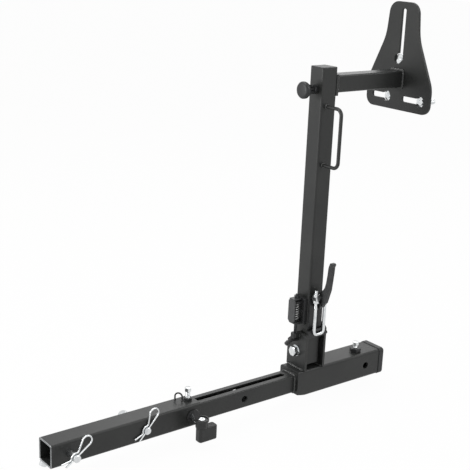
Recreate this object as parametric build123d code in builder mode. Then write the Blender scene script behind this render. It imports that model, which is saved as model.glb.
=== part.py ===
from build123d import *
from math import acos, cos, degrees, pi, radians, sin, sqrt, tan
import os

os.makedirs("parts", exist_ok=True)

# Hitch spare tire carrier. The origin is the first pin hole's centre on the shank's axis.
# X runs along the bar away from the vehicle, Z is up, and the mast folds down towards +Y.

# Shank and slide bar
shank_side = 50.8
shank_wall = 4.0
shank_corner = 6.0
inside_corner = 2.0
shank_front = 40.0
shank_rear = 315.0
slide_gap = 0.4
bar_side = shank_side - 2 * (shank_wall + slide_gap)
bar_wall = 4.0
bar_corner = 4.0
bar_front = 60.0
slot_width = 13.5
slot_front = 250.0
slot_rear = 568.0
shank_face = shank_side / 2

# Pin holes along the bar
pin_diameter = 15.9
pin_gap = 0.2
length_pin_x = 177.0
lock_pin_x = 293.0
spare_hole_x = 438.0
pin_hole = pin_diameter + 2 * pin_gap

# Receiver
receiver_side = 63.5
receiver_wall = 5.8
receiver_corner = 7.0
receiver_front = 584.0
receiver_length = 260.0
receiver_pin_from_end = 44.0
receiver_pin_hole = 16.4
end_plate_thickness = 8.0
bar_engagement = 50.0
bevel_length = 33.0
bevel_height = 8.0
receiver_rear = receiver_front + receiver_length
receiver_inside = receiver_side - 2 * receiver_wall
receiver_top = receiver_side / 2
receiver_pin_x = receiver_rear - receiver_pin_from_end

# Mast, arm and wheel plate
mast_x = 632.0
mast_side = 42.0
mast_wall = 3.0
mast_corner = 4.0
mast_base = 41.0
mast_top = 719.0
arm_side = 38.0
arm_wall = 3.0
arm_z = 685.0
saddle_thickness = 5.0
saddle_height = 46.0
saddle_drop = 2.0
plate_distance = 226.0
plate_thickness = 6.0
mast_half = mast_side / 2
mast_front = mast_x - mast_half
mast_rear = mast_x + mast_half
arm_front = mast_rear + saddle_thickness
plate_front = mast_x + plate_distance
plate_rear = plate_front + plate_thickness

# Pivot bracket
pivot_z = 73.0
pivot_diameter = 14.0
pivot_gap = 0.3
cheek_thickness = 6.0
cheek_gap = 3.3
running_gap = 0.3
front_cheek_top = 119.0
front_cheek_far_top = 92.0
front_cheek_slope_y = 2.0
rear_cheek_top = 137.0
rear_cheek_chamfer = 11.0
washer_diameter = 26.0
bolt_washer = 2.5
pivot_head = 11.0
pivot_nut_height = 12.0
pivot_flats = 21.0
pivot_tail = 4.0
bush_wall = 3.0
front_cheek_inner = mast_front - cheek_gap
front_cheek_outer = front_cheek_inner - cheek_thickness
rear_cheek_inner = mast_rear + cheek_gap
rear_cheek_outer = rear_cheek_inner + cheek_thickness

# Fits that several pieces share
thread_gap = 0.1
seat_gap = 0.3

# Bolts that press down through the tubes' tops, and their nuts
screw_diameter = 10.0
screw_flats = 13.0
screw_head = 8.0
shank_bolt_spot = (299.0, 1.5)
shank_nut_flats = 17.0
shank_nut_height = 6.0
shank_bolt_height = 29.0
shank_bolt_reach = 8.0
receiver_bolt_spot = (785.0, -8.0)
receiver_nut_flats = 24.0
receiver_nut_height = 10.0
receiver_bolt_height = 25.0
receiver_bolt_reach = 7.0
screw_hole = screw_diameter + 2 * thread_gap

# Pins and the lock that go across the bar
pin_foot_chamfer = 1.5
pin_bend = 14.0
pin_leg = 46.0
hitch_pin_lean = 20.0
length_pin_lean = 0.0
hitch_pin_foot = 32.0
length_pin_foot = 9.0
pin_length = 107.4
clip_wire = 3.5
clip_from_foot = 7.4
clip_hole = 3.9
hitch_clip_tilt = 35.0
length_clip_tilt = 48.0
clip_tip = 27.0
clip_loop = 10.5
clip_closing = 32.0
clip_wrap_start = 50.0
clip_bend = 5.0
clip_flare = 18.0
clip_flare_turn = 25.0
lock_pin_foot = 48.0
lock_pin_head = 24.0
lock_pin_head_thickness = 7.0
lock_pin_float = 1.0
lock_tip_diameter = 10.0
lock_tip_length = 27.0
lock_groove = 7.5
lock_groove_width = 4.0
lock_groove_from_foot = 8.0
lock_washer_diameter = 28.0
lock_washer_thickness = 2.5
lock_body_width = 46.0
lock_body_depth = 20.0
lock_body_height = 33.0
lock_body_corner = 6.0
lock_body_edge = 3.5
lock_body_shift = 11.0
lock_body_top = -9.0
lock_neck_diameter = 26.0
lock_neck_shift = -2.0
lock_neck_top = 8.2
lock_wall = 2.0
collar_diameter = 31.0
collar_height = 5.0
collar_base = 5.4
key_diameter = 15.0
key_base = 6.3
key_top = 9.6
key_round = 1.0
keyway_width = 2.0
keyway_length = 7.0
keyway_depth = 2.0
dust_cap_diameter = 21.0
dust_cap_thickness = 3.0
dust_cap_rim = 2.0
dust_cap_recess = 1.0
dust_hinge_length = 8.0
dust_hinge_diameter = 3.6
dust_hinge_shift = 13.2

# Fold pin and keeper on the front cheek
fold_pin_z = 101.0
fold_pin_diameter = 8.0
fold_pin_angle = 60.0
fold_pin_run = 30.0
fold_pin_bend = 10.0
fold_pin_droop = 35.0
fold_grip_diameter = 10.5
fold_grip_length = 9.0
fold_clip_wire = 2.0
fold_clip_from_mast = 28.0
fold_clip_bend = 5.0
fold_clip_down = 9.0
fold_clip_up = 17.0
fold_clip_return = 10.0
keeper_reach = 14.5
keeper_width = 16.0
keeper_height = 10.0

# Spring plunger on the mast's front face
plunger_from_mast = 17.0
plunger_diameter = 6.4
plunger_angle = 72.0
plunger_tip_z = 117.0
plunger_above_base = 9.0
plunger_nut_flats = 11.0
plunger_nut_height = 6.0
plunger_collar = 10.5
plunger_collar_thickness = 2.0
latch_base_thickness = 10.0
latch_base_width = 35.0
latch_base_bottom = 141.0
latch_base_top = 203.0
latch_lug_thickness = 5.0
latch_lug_width = 18.0
latch_lug_reach = 15.0
latch_upper_lug_drop = 13.0
latch_upper_lug_z = latch_base_top - latch_upper_lug_drop
latch_screw_diameter = 5.0
latch_screw_head = 9.0
latch_screw_head_height = 3.0
latch_screw_spread = 22.0
latch_screw_length = 12.5
spring_wire = 1.6
spring_diameter = 11.2
spring_turns = 7
spring_bottom_gap = 0.4
spring_top_gap = 0.4
pull_plate_gap = 4.0
pull_plate_thickness = 3.0
pull_plate_width = 21.4
pull_plate_chamfer = 6.0
pull_plate_bottom = 145.0
pull_flange_width = 16.0
pull_flange_thickness = 3.0
plunger_shoulder_z = latch_base_top - pull_flange_thickness
plunger_top_z = latch_base_top + plunger_above_base

# Toggle latch on the mast's near face
toggle_shift = 1.0
toggle_x = mast_x + toggle_shift
toggle_base_thickness = 3.0
toggle_base_width = 40.0
toggle_base_bottom = 130.0
toggle_base_top = 204.0
toggle_ear_gap = 9.6
toggle_ear_thickness = 2.4
toggle_pivot_out = 17.0
toggle_pivot_z = 190.0
toggle_ear_round = 7.0
toggle_pin_diameter = 6.0
toggle_pin_length = 14.8
toggle_screw_diameter = 5.0
toggle_screw_head = 9.0
toggle_screw_head_height = 2.5
toggle_screw_z = (138.0, 152.0)
trunnion_z = 207.0
trunnion_out = 15.5
trunnion_diameter = 9.0
trunnion_block = (12.0, 13.0, 9.0)
u_bolt_diameter = 7.5
u_bolt_spread = 28.0
u_bolt_bend = 8.0
u_bolt_bottom = 119.0
u_bolt_top = 226.0
u_nut_flats = 13.0
u_nut_height = 6.0
lever_thickness = 9.0
lever_outline = [
    (-12.0, 181.5),
    (-18.0, 182.0),
    (-35.0, 200.0),
    (-45.0, 232.0),
    (-50.0, 276.0),
    (-50.5, 288.0),
    (-55.0, 297.0),
    (-43.0, 297.0),
    (-38.5, 285.0),
    (-37.0, 268.0),
    (-34.0, 247.0),
    (-30.0, 233.0),
    (-24.0, 227.0),
    (-16.0, 220.0),
    (-8.5, 212.0),
    (-8.5, 190.0),
]
lever_round = 3.0

# Catch between the cheeks, whose tongue the U bolt pulls on
catch_in = 3.0
catch_depth = 8.0
catch_bottom = 110.0
catch_top = 127.0
catch_screw_rise = 4.5
tongue_angle = 60.0
tongue_thickness = 4.0
tongue_width = 16.0
tongue_out = 17.2
tongue_gap = 0.45
catch_screw_diameter = 4.0
catch_screw_head = 8.0
catch_screw_head_height = 3.0
catch_screw_length = 18.0

# Handle, knob and plugs
handle_diameter = 8.0
handle_top = 638.5
handle_bottom = 510.0
handle_reach = 47.0
handle_bend = 14.0
handle_shift = -5.0
cap_plate = 3.5
cap_round = 2.0
cap_plug = 10.0
cap_gap = 0.2
plug_length = 16.0
knob_z = 674.0
stud_diameter = 8.0
stud_in_knob = 14.0
knob_disc = 37.0
knob_disc_thickness = 9.0
knob_hub = 24.0
knob_hub_length = 21.5
knob_flute = 4.0
knob_flutes = 12
knob_joint = 1.0
knob_boss = 20.0
knob_boss_length = 10.0
end_cap_side = 66.0
end_cap_corner = 8.5
end_cap_lip = 16.0
end_cap_round = 4.0
end_cap_plug = 22.0
end_cap_wall = 2.5
end_cap_gap = 0.35

# Wheel plate and its studs
plate_rise = 171.0
plate_top = arm_z + plate_rise
plate_shift = -6.0
plate_top_half = 18.5
plate_top_round = 26.0
plate_neck_run = 34.0
plate_taper = 5.5
plate_waist_round = 118.0
plate_flare = 25.0
plate_foot_half = 98.0
plate_hip_round = 64.0
plate_side_run = 24.8
plate_foot_round = 22.0
keyhole_diameter = 25.0
keyhole_slot = 13.0
keyhole_slot_round = 4.0
foot_keyhole_rise = 27.3
top_keyhole_drop = 127.0
top_slot_margin = 15.0
left_slot_margin = 19.0
left_slot_reach = 45.0
right_keyhole_margin = 29.5
right_slot_end = 14.5
stud_shifts = [(-1.0, -5.0), (-5.5, 1.5), (-2.0, -1.0)]
wheel_stud_diameter = 12.0
wheel_stud_length = 46.0
wheel_washer_diameter = 32.0
wheel_washer_thickness = 3.0
wheel_nut_flats = 19.0
wheel_nut_height = 10.0
stud_chamfer = 1.0

# Loop beside the shank's bolt
loop_wire = 3.5
loop_from = (277.0, 17.5)
loop_to = (287.0, 5.0)
loop_height = 18.0


# Draws straight runs and round turns one after the other, as (run, turn in degrees, radius).
def bend_line(start, heading, moves):
    point = Vector(*start)
    for run, turn, radius in moves:
        if run:
            end = point + Vector(run, 0).rotate(Axis.Z, heading)
            Line(tuple(point), tuple(end))
            point = end
        if turn:
            side = 1 if turn > 0 else -1
            centre = point + Vector(radius, 0).rotate(Axis.Z, heading + side * 90)
            spoke = point - centre
            end = centre + spoke.rotate(Axis.Z, turn)
            middle = centre + spoke.rotate(Axis.Z, turn / 2)
            ThreePointArc(tuple(point), tuple(middle), tuple(end))
            point = end
            heading += turn
    return point


# Sweeps round wire along a bent line in a plane, and returns the plane at its far end.
def bent_wire(plane, start, heading, moves, diameter):
    with BuildLine(plane) as route:
        bend_line(start, heading, moves)
    with BuildSketch(Plane(origin=route.line @ 0, z_dir=route.line % 0)) as profile:
        Circle(diameter / 2)
    sweep(profile.sketch, path=route.line)
    return Plane(origin=route.line @ 1, z_dir=route.line % 1)


# Square tube with rounded corners, drawn on a plane and pulled along its normal.
def square_tube(plane, side, corner, wall, length):
    inside = side - 2 * wall
    with BuildSketch(plane) as profile:
        RectangleRounded(side, side, corner)
        RectangleRounded(inside, inside, inside_corner, mode=Mode.SUBTRACT)
    extrude(profile.sketch, amount=length)


# Round bar from a plane along its normal, or a hole with Mode.SUBTRACT.
def round_bar(plane, centres, diameter, length, mode=Mode.ADD, both=False):
    with BuildSketch(plane) as profile:
        with Locations(*centres):
            Circle(diameter / 2)
    extrude(profile.sketch, amount=length, both=both, mode=mode)


# Round hole that runs both ways from a plane.
def round_hole(plane, centres, diameter, reach):
    round_bar(plane, centres, diameter, reach, mode=Mode.SUBTRACT, both=True)


# Ring from a plane along its normal.
def ring(plane, centres, outer, inner, length):
    with BuildSketch(plane) as profile:
        with Locations(*centres):
            Circle(outer / 2)
            Circle(inner / 2, mode=Mode.SUBTRACT)
    extrude(profile.sketch, amount=length)


# Hexagon with or without a bore, from a plane along its normal.
def hexagon(plane, centres, flats, length, bore=0.0, turned=0.0):
    with BuildSketch(plane) as profile:
        with Locations(*centres):
            RegularPolygon(flats / 2, 6, major_radius=False, rotation=turned)
            if bore:
                Circle(bore / 2, mode=Mode.SUBTRACT)
    extrude(profile.sketch, amount=length)


# Box from a plane along its normal, drawn about a centre in that plane.
def block(plane, centre, width, height, length, corner=0.0):
    with BuildSketch(plane) as profile:
        with Locations(centre):
            if corner:
                RectangleRounded(width, height, corner)
            else:
                Rectangle(width, height)
    extrude(profile.sketch, amount=length)


# Plane whose x and y are the object's Y and Z, at a place along the bar.
def across(x):
    return Plane.YZ.offset(x)


# Plane seen from the near side, whose x and y are the object's X and Z.
def beside(y):
    return Plane.XZ.offset(-y)


# Shank tube
with BuildPart() as shank_tube:
    square_tube(
        across(-shank_front), shank_side, shank_corner, shank_wall, shank_front + shank_rear
    )
    pin_spots = [(0, 0), (length_pin_x, 0), (lock_pin_x, 0)]
    round_hole(beside(0), pin_spots, pin_hole, shank_side)
    round_bar(Plane.XY, [shank_bolt_spot], screw_hole, shank_side, mode=Mode.SUBTRACT)
shank_tube.part.label = "shank_tube"

# Slide bar, slotted along its top
with BuildPart() as slide_bar:
    bar_length = receiver_front + bar_engagement - bar_front
    square_tube(across(bar_front), bar_side, bar_corner, bar_wall, bar_length)
    bar_spots = [(length_pin_x, 0), (lock_pin_x, 0), (spare_hole_x, 0)]
    round_hole(beside(0), bar_spots, pin_hole, bar_side)
    with BuildSketch(Plane.XY):
        with Locations(((slot_front + slot_rear) / 2, 0)):
            SlotOverall(slot_rear - slot_front, slot_width)
    extrude(amount=bar_side, mode=Mode.SUBTRACT)
slide_bar.part.label = "slide_bar"


# Bevel along the receiver's lower front edge, cut from the tube and its end plate alike
def cut_bevel():
    bottom = -receiver_top
    with BuildSketch(beside(0)) as wedge:
        with BuildLine():
            Polyline(
                (receiver_front, bottom),
                (receiver_front + bevel_length, bottom),
                (receiver_front, bottom + bevel_height),
                close=True,
            )
        make_face()
    extrude(wedge.sketch, amount=receiver_side, both=True, mode=Mode.SUBTRACT)


# Receiver tube
with BuildPart() as receiver_tube:
    square_tube(
        across(receiver_front), receiver_side, receiver_corner, receiver_wall, receiver_length
    )
    round_hole(beside(0), [(receiver_pin_x, 0)], receiver_pin_hole, receiver_side)
    round_bar(Plane.XY, [receiver_bolt_spot], screw_hole, receiver_side, mode=Mode.SUBTRACT)
    cut_bevel()
receiver_tube.part.label = "receiver_tube"

# Plate that closes the receiver round the slide bar
with BuildPart() as receiver_end_plate:
    with BuildSketch(across(receiver_front)):
        RectangleRounded(receiver_inside, receiver_inside, inside_corner)
        RectangleRounded(bar_side, bar_side, bar_corner, mode=Mode.SUBTRACT)
    extrude(amount=end_plate_thickness)
    cut_bevel()
receiver_end_plate.part.label = "receiver_end_plate"

# Plastic plug in the receiver's rear end
with BuildPart() as receiver_cap:
    block(across(receiver_rear), (0, 0), end_cap_side, end_cap_side, end_cap_lip, end_cap_corner)
    fillet(receiver_cap.faces().sort_by(Axis.X)[-1].edges(), end_cap_round)
    plug_side = receiver_inside - 2 * end_cap_gap
    plug_inside = plug_side - 2 * end_cap_wall
    with BuildSketch(across(receiver_rear)):
        RectangleRounded(plug_side, plug_side, inside_corner)
        RectangleRounded(plug_inside, plug_inside, inside_corner, mode=Mode.SUBTRACT)
    extrude(amount=-end_cap_plug)
receiver_cap.part.label = "receiver_cap"


# Bolt that stands on a tube's top, from its tip in the tube up to its head
def standing_bolt(spot, top, height, reach):
    round_bar(Plane.XY.offset(top - reach), [spot], screw_diameter, reach + height - screw_head)
    head_plane = Plane.XY.offset(top + height - screw_head)
    hexagon(head_plane, [spot], screw_flats, screw_head)


# Bolt through the shank's top, which rides in the slide bar's slot, and its nut
with BuildPart() as shank_bolt:
    standing_bolt(shank_bolt_spot, shank_face, shank_bolt_height, shank_bolt_reach)
shank_bolt.part.label = "shank_bolt"

with BuildPart() as shank_nut:
    nut_plane = Plane.XY.offset(shank_face)
    hexagon(nut_plane, [shank_bolt_spot], shank_nut_flats, shank_nut_height, screw_hole)
shank_nut.part.label = "shank_nut"

# Bolt that presses on the shank held in the receiver, and its nut
with BuildPart() as receiver_bolt:
    standing_bolt(receiver_bolt_spot, receiver_top, receiver_bolt_height, receiver_bolt_reach)
receiver_bolt.part.label = "receiver_bolt"

with BuildPart() as receiver_nut:
    nut_plane = Plane.XY.offset(receiver_top)
    hexagon(nut_plane, [receiver_bolt_spot], receiver_nut_flats, receiver_nut_height, screw_hole)
receiver_nut.part.label = "receiver_nut"

# Wire loop welded on the shank's top
with BuildPart() as tether_loop:
    first = Vector(*loop_from, shank_face)
    second = Vector(*loop_to, shank_face)
    along = (second - first).normalized()
    loop_plane = Plane(origin=first, x_dir=along, z_dir=along.cross(Vector(0, 0, 1)))
    loop_radius = (second - first).length / 2
    loop_leg = loop_height - loop_wire / 2 - loop_radius
    loop_moves = [(loop_leg, -180, loop_radius), (loop_leg, 0, 0)]
    bent_wire(loop_plane, (0, 0), 90, loop_moves, loop_wire)
tether_loop.part.label = "tether_loop"


# Bent pin across the bar, whose leg hangs down behind it, leaning towards the shank's mouth
def bent_pin(x, foot, lean_degrees):
    lean = radians(lean_degrees)
    straight = pin_length - pin_bend
    leg_up = (sin(lean), 0, cos(lean))
    pin_plane = Plane(origin=(x, foot, 0), x_dir=leg_up, z_dir=(-cos(lean), 0, sin(lean)))
    bent_wire(pin_plane, (0, 0), 90, [(straight, 90, pin_bend), (pin_leg, 0, 0)], pin_diameter)


# Spring clip whose straight leg goes through the pin and whose bent leg wraps round it
def spring_clip(x, y, tilt_degrees):
    wrap = (pin_diameter + clip_wire) / 2 + seat_gap
    turn = 90 - clip_wrap_start
    closing = radians(clip_closing)
    start = radians(clip_wrap_start)
    arm_u = (wrap + clip_bend) * cos(start) + clip_bend * sin(closing)
    arm_v = (wrap + clip_bend) * sin(start) - clip_bend * cos(closing)
    arm = (clip_loop * (1 + cos(closing)) - arm_v) / sin(closing)
    leg = arm_u + clip_loop * sin(closing) + arm * cos(closing)
    tilt = radians(tilt_degrees)
    clip_plane = Plane(origin=(x, y, 0), x_dir=(cos(tilt), 0, sin(tilt)), z_dir=(0, -1, 0))
    moves = [
        (clip_tip + leg, 180 + clip_closing, clip_loop),
        (arm, -(turn + clip_closing), clip_bend),
        (0, 90, wrap),
        (0, -(90 - turn) - clip_flare_turn, clip_bend),
        (clip_flare, 0, 0),
    ]
    bent_wire(clip_plane, (-clip_tip, 0), 0, moves, clip_wire)


# Hole through a pin for its clip's straight leg
def clip_hole_in_pin(x, y, tilt_degrees):
    tilt = radians(tilt_degrees)
    hole_plane = Plane(origin=(x, y, 0), z_dir=(cos(tilt), 0, sin(tilt)))
    round_hole(hole_plane, [(0, 0)], clip_hole, pin_diameter)


# Hitch pin and length pin with their clips
hitch_foot_y = -shank_face - hitch_pin_foot
length_foot_y = -shank_face - length_pin_foot
hitch_clip_y = hitch_foot_y + clip_from_foot
length_clip_y = -shank_face - clip_wire

with BuildPart() as hitch_pin:
    bent_pin(0, hitch_foot_y, hitch_pin_lean)
    chamfer(hitch_pin.faces().sort_by(Axis.Y)[0].edges(), pin_foot_chamfer)
    clip_hole_in_pin(0, hitch_clip_y, hitch_clip_tilt)
hitch_pin.part.label = "hitch_pin"

with BuildPart() as hitch_clip:
    spring_clip(0, hitch_clip_y, hitch_clip_tilt)
hitch_clip.part.label = "hitch_clip"

with BuildPart() as length_pin:
    bent_pin(length_pin_x, length_foot_y, length_pin_lean)
    chamfer(length_pin.faces().sort_by(Axis.Y)[0].edges(), pin_foot_chamfer)
    clip_hole_in_pin(length_pin_x, length_clip_y, length_clip_tilt)
length_pin.part.label = "length_pin"

with BuildPart() as length_clip:
    spring_clip(length_pin_x, length_clip_y, length_clip_tilt)
length_clip.part.label = "length_clip"

# Lock's pin, with its head on the far side and its groove inside the lock
lock_foot_y = -shank_face - lock_pin_foot
lock_spot = [(lock_pin_x, 0)]
with BuildPart() as lock_pin:
    head_y = shank_face + lock_pin_float
    shoulder_y = lock_foot_y + lock_tip_length
    round_bar(beside(head_y), lock_spot, pin_diameter, head_y - shoulder_y)
    round_bar(beside(shoulder_y), lock_spot, lock_tip_diameter, lock_tip_length)
    round_bar(beside(head_y + lock_pin_head_thickness), lock_spot, lock_pin_head, lock_pin_head_thickness)
    chamfer(lock_pin.faces().sort_by(Axis.Y)[0].edges(), pin_foot_chamfer)
    groove_y = lock_foot_y + lock_groove_from_foot + lock_groove_width
    with BuildSketch(beside(groove_y)):
        with Locations(*lock_spot):
            Circle(pin_diameter)
            Circle(lock_groove / 2, mode=Mode.SUBTRACT)
    extrude(amount=lock_groove_width, mode=Mode.SUBTRACT)
lock_pin.part.label = "lock_pin"

# Washer between the shank and the lock
with BuildPart() as lock_washer:
    ring(
        beside(-shank_face), lock_spot, lock_washer_diameter, pin_hole, lock_washer_thickness
    )
lock_washer.part.label = "lock_washer"

# Lock body: a block under a round neck that takes the pin
lock_bore_bottom = lock_foot_y - seat_gap
neck_radius = lock_neck_diameter / 2
neck_x = lock_pin_x + lock_neck_shift
neck_y = lock_bore_bottom - lock_wall + neck_radius
lock_block_x = lock_pin_x + lock_body_shift
neck_spot = (neck_x, neck_y)
with BuildPart() as lock_body:
    block_plane = Plane.XY.offset(lock_body_top - lock_body_height)
    block_spot = (lock_block_x, neck_y)
    block(block_plane, block_spot, lock_body_width, lock_body_depth, lock_body_height, lock_body_corner)
    block_ends = lock_body.faces().filter_by(Axis.Z)
    fillet(block_ends.edges(), lock_body_edge)
    neck_height = lock_neck_top - lock_body_top
    round_bar(Plane.XY.offset(lock_body_top), [neck_spot], lock_neck_diameter, neck_height)
    bore_length = neck_y + neck_radius - lock_bore_bottom
    lock_bore = lock_tip_diameter + 2 * pin_gap
    round_bar(
        beside(neck_y + neck_radius), lock_spot, lock_bore, bore_length, mode=Mode.SUBTRACT
    )
    key_hole = key_diameter + 2 * thread_gap
    key_plane = Plane.XY.offset(key_base - seat_gap)
    round_bar(key_plane, [neck_spot], key_hole, neck_height, mode=Mode.SUBTRACT)
lock_body.part.label = "lock_body"

# Collar round the lock's neck, and the key cylinder in it
with BuildPart() as lock_collar:
    ring(
        Plane.XY.offset(collar_base), [neck_spot], collar_diameter, lock_neck_diameter, collar_height
    )
lock_collar.part.label = "lock_collar"

with BuildPart() as key_cylinder:
    round_bar(Plane.XY.offset(key_base), [neck_spot], key_diameter, key_top - key_base)
    fillet(key_cylinder.faces().sort_by(Axis.Z)[-1].edges(), key_round)
    with BuildSketch(Plane.XY.offset(key_top)):
        with Locations(neck_spot):
            Rectangle(keyway_length, keyway_width)
    extrude(amount=-keyway_depth, mode=Mode.SUBTRACT)
key_cylinder.part.label = "key_cylinder"

# Dust cap, flipped open about a hinge just above the collar
dust_hinge_x = neck_x - dust_hinge_shift
dust_hinge_z = collar_base + collar_height + dust_hinge_diameter / 2 + seat_gap
with BuildPart() as dust_cap:
    cap_x = dust_hinge_x - dust_cap_thickness / 2
    cap_spot = (neck_y, dust_hinge_z + dust_cap_diameter / 2)
    round_bar(across(cap_x), [cap_spot], dust_cap_diameter, dust_cap_thickness)
    rim_inner = dust_cap_diameter - 2 * dust_cap_rim
    recess_plane = across(cap_x + dust_cap_thickness - dust_cap_recess)
    round_bar(recess_plane, [cap_spot], rim_inner, dust_cap_recess, mode=Mode.SUBTRACT)
    hinge_plane = beside(neck_y + dust_hinge_length / 2)
    round_bar(hinge_plane, [(dust_hinge_x, dust_hinge_z)], dust_hinge_diameter, dust_hinge_length)
dust_cap.part.label = "dust_cap"

# Front cheek, whose top slopes down on the far side
cheek_half = receiver_side / 2
catch_y = -mast_half - catch_in - catch_depth / 2
catch_screw_z = catch_bottom + catch_screw_rise
cheek_bolt_hole = pivot_diameter + 2 * pivot_gap
with BuildPart() as front_plate:
    with BuildSketch(across(front_cheek_outer)):
        with BuildLine():
            Polyline(
                (-cheek_half, front_cheek_top),
                (-cheek_half, receiver_top),
                (cheek_half, receiver_top),
                (cheek_half, front_cheek_far_top),
                (front_cheek_slope_y, front_cheek_top),
                close=True,
            )
        make_face()
    extrude(amount=cheek_thickness)
    round_hole(across(front_cheek_outer), [(0, pivot_z)], cheek_bolt_hole, 2 * cheek_thickness)
    fold_hole = fold_pin_diameter + 2 * seat_gap
    round_hole(across(front_cheek_outer), [(0, fold_pin_z)], fold_hole, 2 * cheek_thickness)
    screw_bore = catch_screw_diameter + 2 * thread_gap
    screw_spot = [(catch_y, catch_screw_z)]
    round_hole(across(front_cheek_outer), screw_spot, screw_bore, 2 * cheek_thickness)
front_plate.part.label = "front_plate"

# Rear cheek with cut corners
with BuildPart() as rear_plate:
    rear_height = rear_cheek_top - receiver_top
    rear_centre = (0, receiver_top + rear_height / 2)
    block(across(rear_cheek_inner), rear_centre, receiver_side, rear_height, cheek_thickness)
    top_corners = rear_plate.edges().filter_by(Axis.X).group_by(Axis.Z)[-1]
    chamfer(top_corners, rear_cheek_chamfer)
    round_hole(across(rear_cheek_inner), [(0, pivot_z)], cheek_bolt_hole, 2 * cheek_thickness)
    round_hole(across(rear_cheek_inner), screw_spot, screw_bore, 2 * cheek_thickness)
rear_plate.part.label = "rear_plate"

# Catch: a bar between the cheeks with a sloping tongue above the U bolt
u_bolt_y = -mast_half - trunnion_out
slope = tan(radians(tongue_angle))
tongue_clear = (u_bolt_diameter / 2 + tongue_gap) / cos(radians(tongue_angle))
catch_front_y = catch_y - catch_depth / 2
tongue_tip_y = -mast_half - tongue_out
with BuildPart() as catch:
    catch_centre = (catch_y, (catch_bottom + catch_top) / 2)
    catch_length = rear_cheek_inner - front_cheek_inner
    block(
        across(front_cheek_inner), catch_centre, catch_depth, catch_top - catch_bottom, catch_length
    )

    def under_tongue(y):
        return u_bolt_bottom + tongue_clear + slope * (u_bolt_y - y)

    tongue_back_y = catch_y + catch_depth / 2
    tip_y = tongue_tip_y + tongue_thickness * sin(radians(tongue_angle))
    tip_z = under_tongue(tongue_tip_y) + tongue_thickness * cos(radians(tongue_angle))
    back_z = tip_z + slope * (tip_y - tongue_back_y)
    with BuildSketch(across(toggle_x - tongue_width / 2)):
        with BuildLine():
            Polyline(
                (catch_front_y, catch_bottom),
                (catch_front_y, under_tongue(catch_front_y)),
                (tongue_tip_y, under_tongue(tongue_tip_y)),
                (tip_y, tip_z),
                (tongue_back_y, back_z),
                (tongue_back_y, catch_bottom),
                close=True,
            )
        make_face()
    extrude(amount=tongue_width)
    for plane in (across(front_cheek_inner), across(rear_cheek_inner)):
        screw_depth = catch_screw_length - cheek_thickness
        round_hole(plane, screw_spot, catch_screw_diameter, screw_depth)
catch.part.label = "catch"

# Screws that hold the catch between the cheeks
with BuildPart() as catch_screws:
    screw_run = catch_screw_length
    round_bar(across(front_cheek_outer), screw_spot, catch_screw_diameter, screw_run)
    round_bar(
        across(front_cheek_outer), screw_spot, catch_screw_head, -catch_screw_head_height
    )
    round_bar(across(rear_cheek_outer), screw_spot, catch_screw_diameter, -screw_run)
    round_bar(across(rear_cheek_outer), screw_spot, catch_screw_head, catch_screw_head_height)
catch_screws.part.label = "catch_screws"

# Keeper lug on the front cheek, with a shallow seat for the plunger's nose
plunger_x = mast_front - plunger_from_mast
nose_height = plunger_diameter / 2 / tan(radians(plunger_angle))
keeper_top = plunger_tip_z + nose_height
with BuildPart() as keeper:
    keeper_x = front_cheek_outer - keeper_reach
    keeper_centre = (0, keeper_top - keeper_height / 2)
    block(across(keeper_x), keeper_centre, keeper_width, keeper_height, keeper_reach)
    front_edges = keeper.edges().filter_by(Axis.Z).group_by(Axis.X)[0]
    fillet(front_edges, keeper_width / 4)
    seat_radius = plunger_diameter / 2 + seat_gap / cos(radians(plunger_angle))
    seat_depth = seat_radius / tan(radians(plunger_angle))
    with Locations((plunger_x, 0, keeper_top - seat_depth)):
        Cone(
            0,
            seat_radius,
            seat_depth,
            align=(Align.CENTER, Align.CENTER, Align.MIN),
            mode=Mode.SUBTRACT,
        )
keeper.part.label = "keeper"

# Pivot bolt with its nut, washers and the bush through the mast
head_x = front_cheek_outer - bolt_washer - pivot_head
nut_x = rear_cheek_outer + bolt_washer
pivot_spot = [(0, pivot_z)]
with BuildPart() as pivot_bolt:
    hexagon(across(head_x), pivot_spot, pivot_flats, pivot_head, turned=30)
    bolt_end = nut_x + pivot_nut_height + pivot_tail
    round_bar(across(head_x), pivot_spot, pivot_diameter, bolt_end - head_x)
pivot_bolt.part.label = "pivot_bolt"

with BuildPart() as pivot_nut:
    hexagon(across(nut_x), pivot_spot, pivot_flats, pivot_nut_height, pivot_diameter, turned=30)
pivot_nut.part.label = "pivot_nut"

inner_washer = cheek_gap - running_gap
with BuildPart() as pivot_washers:
    for x, thickness in (
        (front_cheek_outer - bolt_washer, bolt_washer),
        (front_cheek_inner, inner_washer),
        (rear_cheek_inner - inner_washer, inner_washer),
        (rear_cheek_outer, bolt_washer),
    ):
        ring(across(x), pivot_spot, washer_diameter, cheek_bolt_hole, thickness)
pivot_washers.part.label = "pivot_washers"

bush_bore = pivot_diameter + 2 * pivot_gap
bush_outer = bush_bore + 2 * bush_wall
with BuildPart() as pivot_bush:
    ring(across(mast_front), pivot_spot, bush_outer, bush_bore, mast_side)
pivot_bush.part.label = "pivot_bush"

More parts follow.
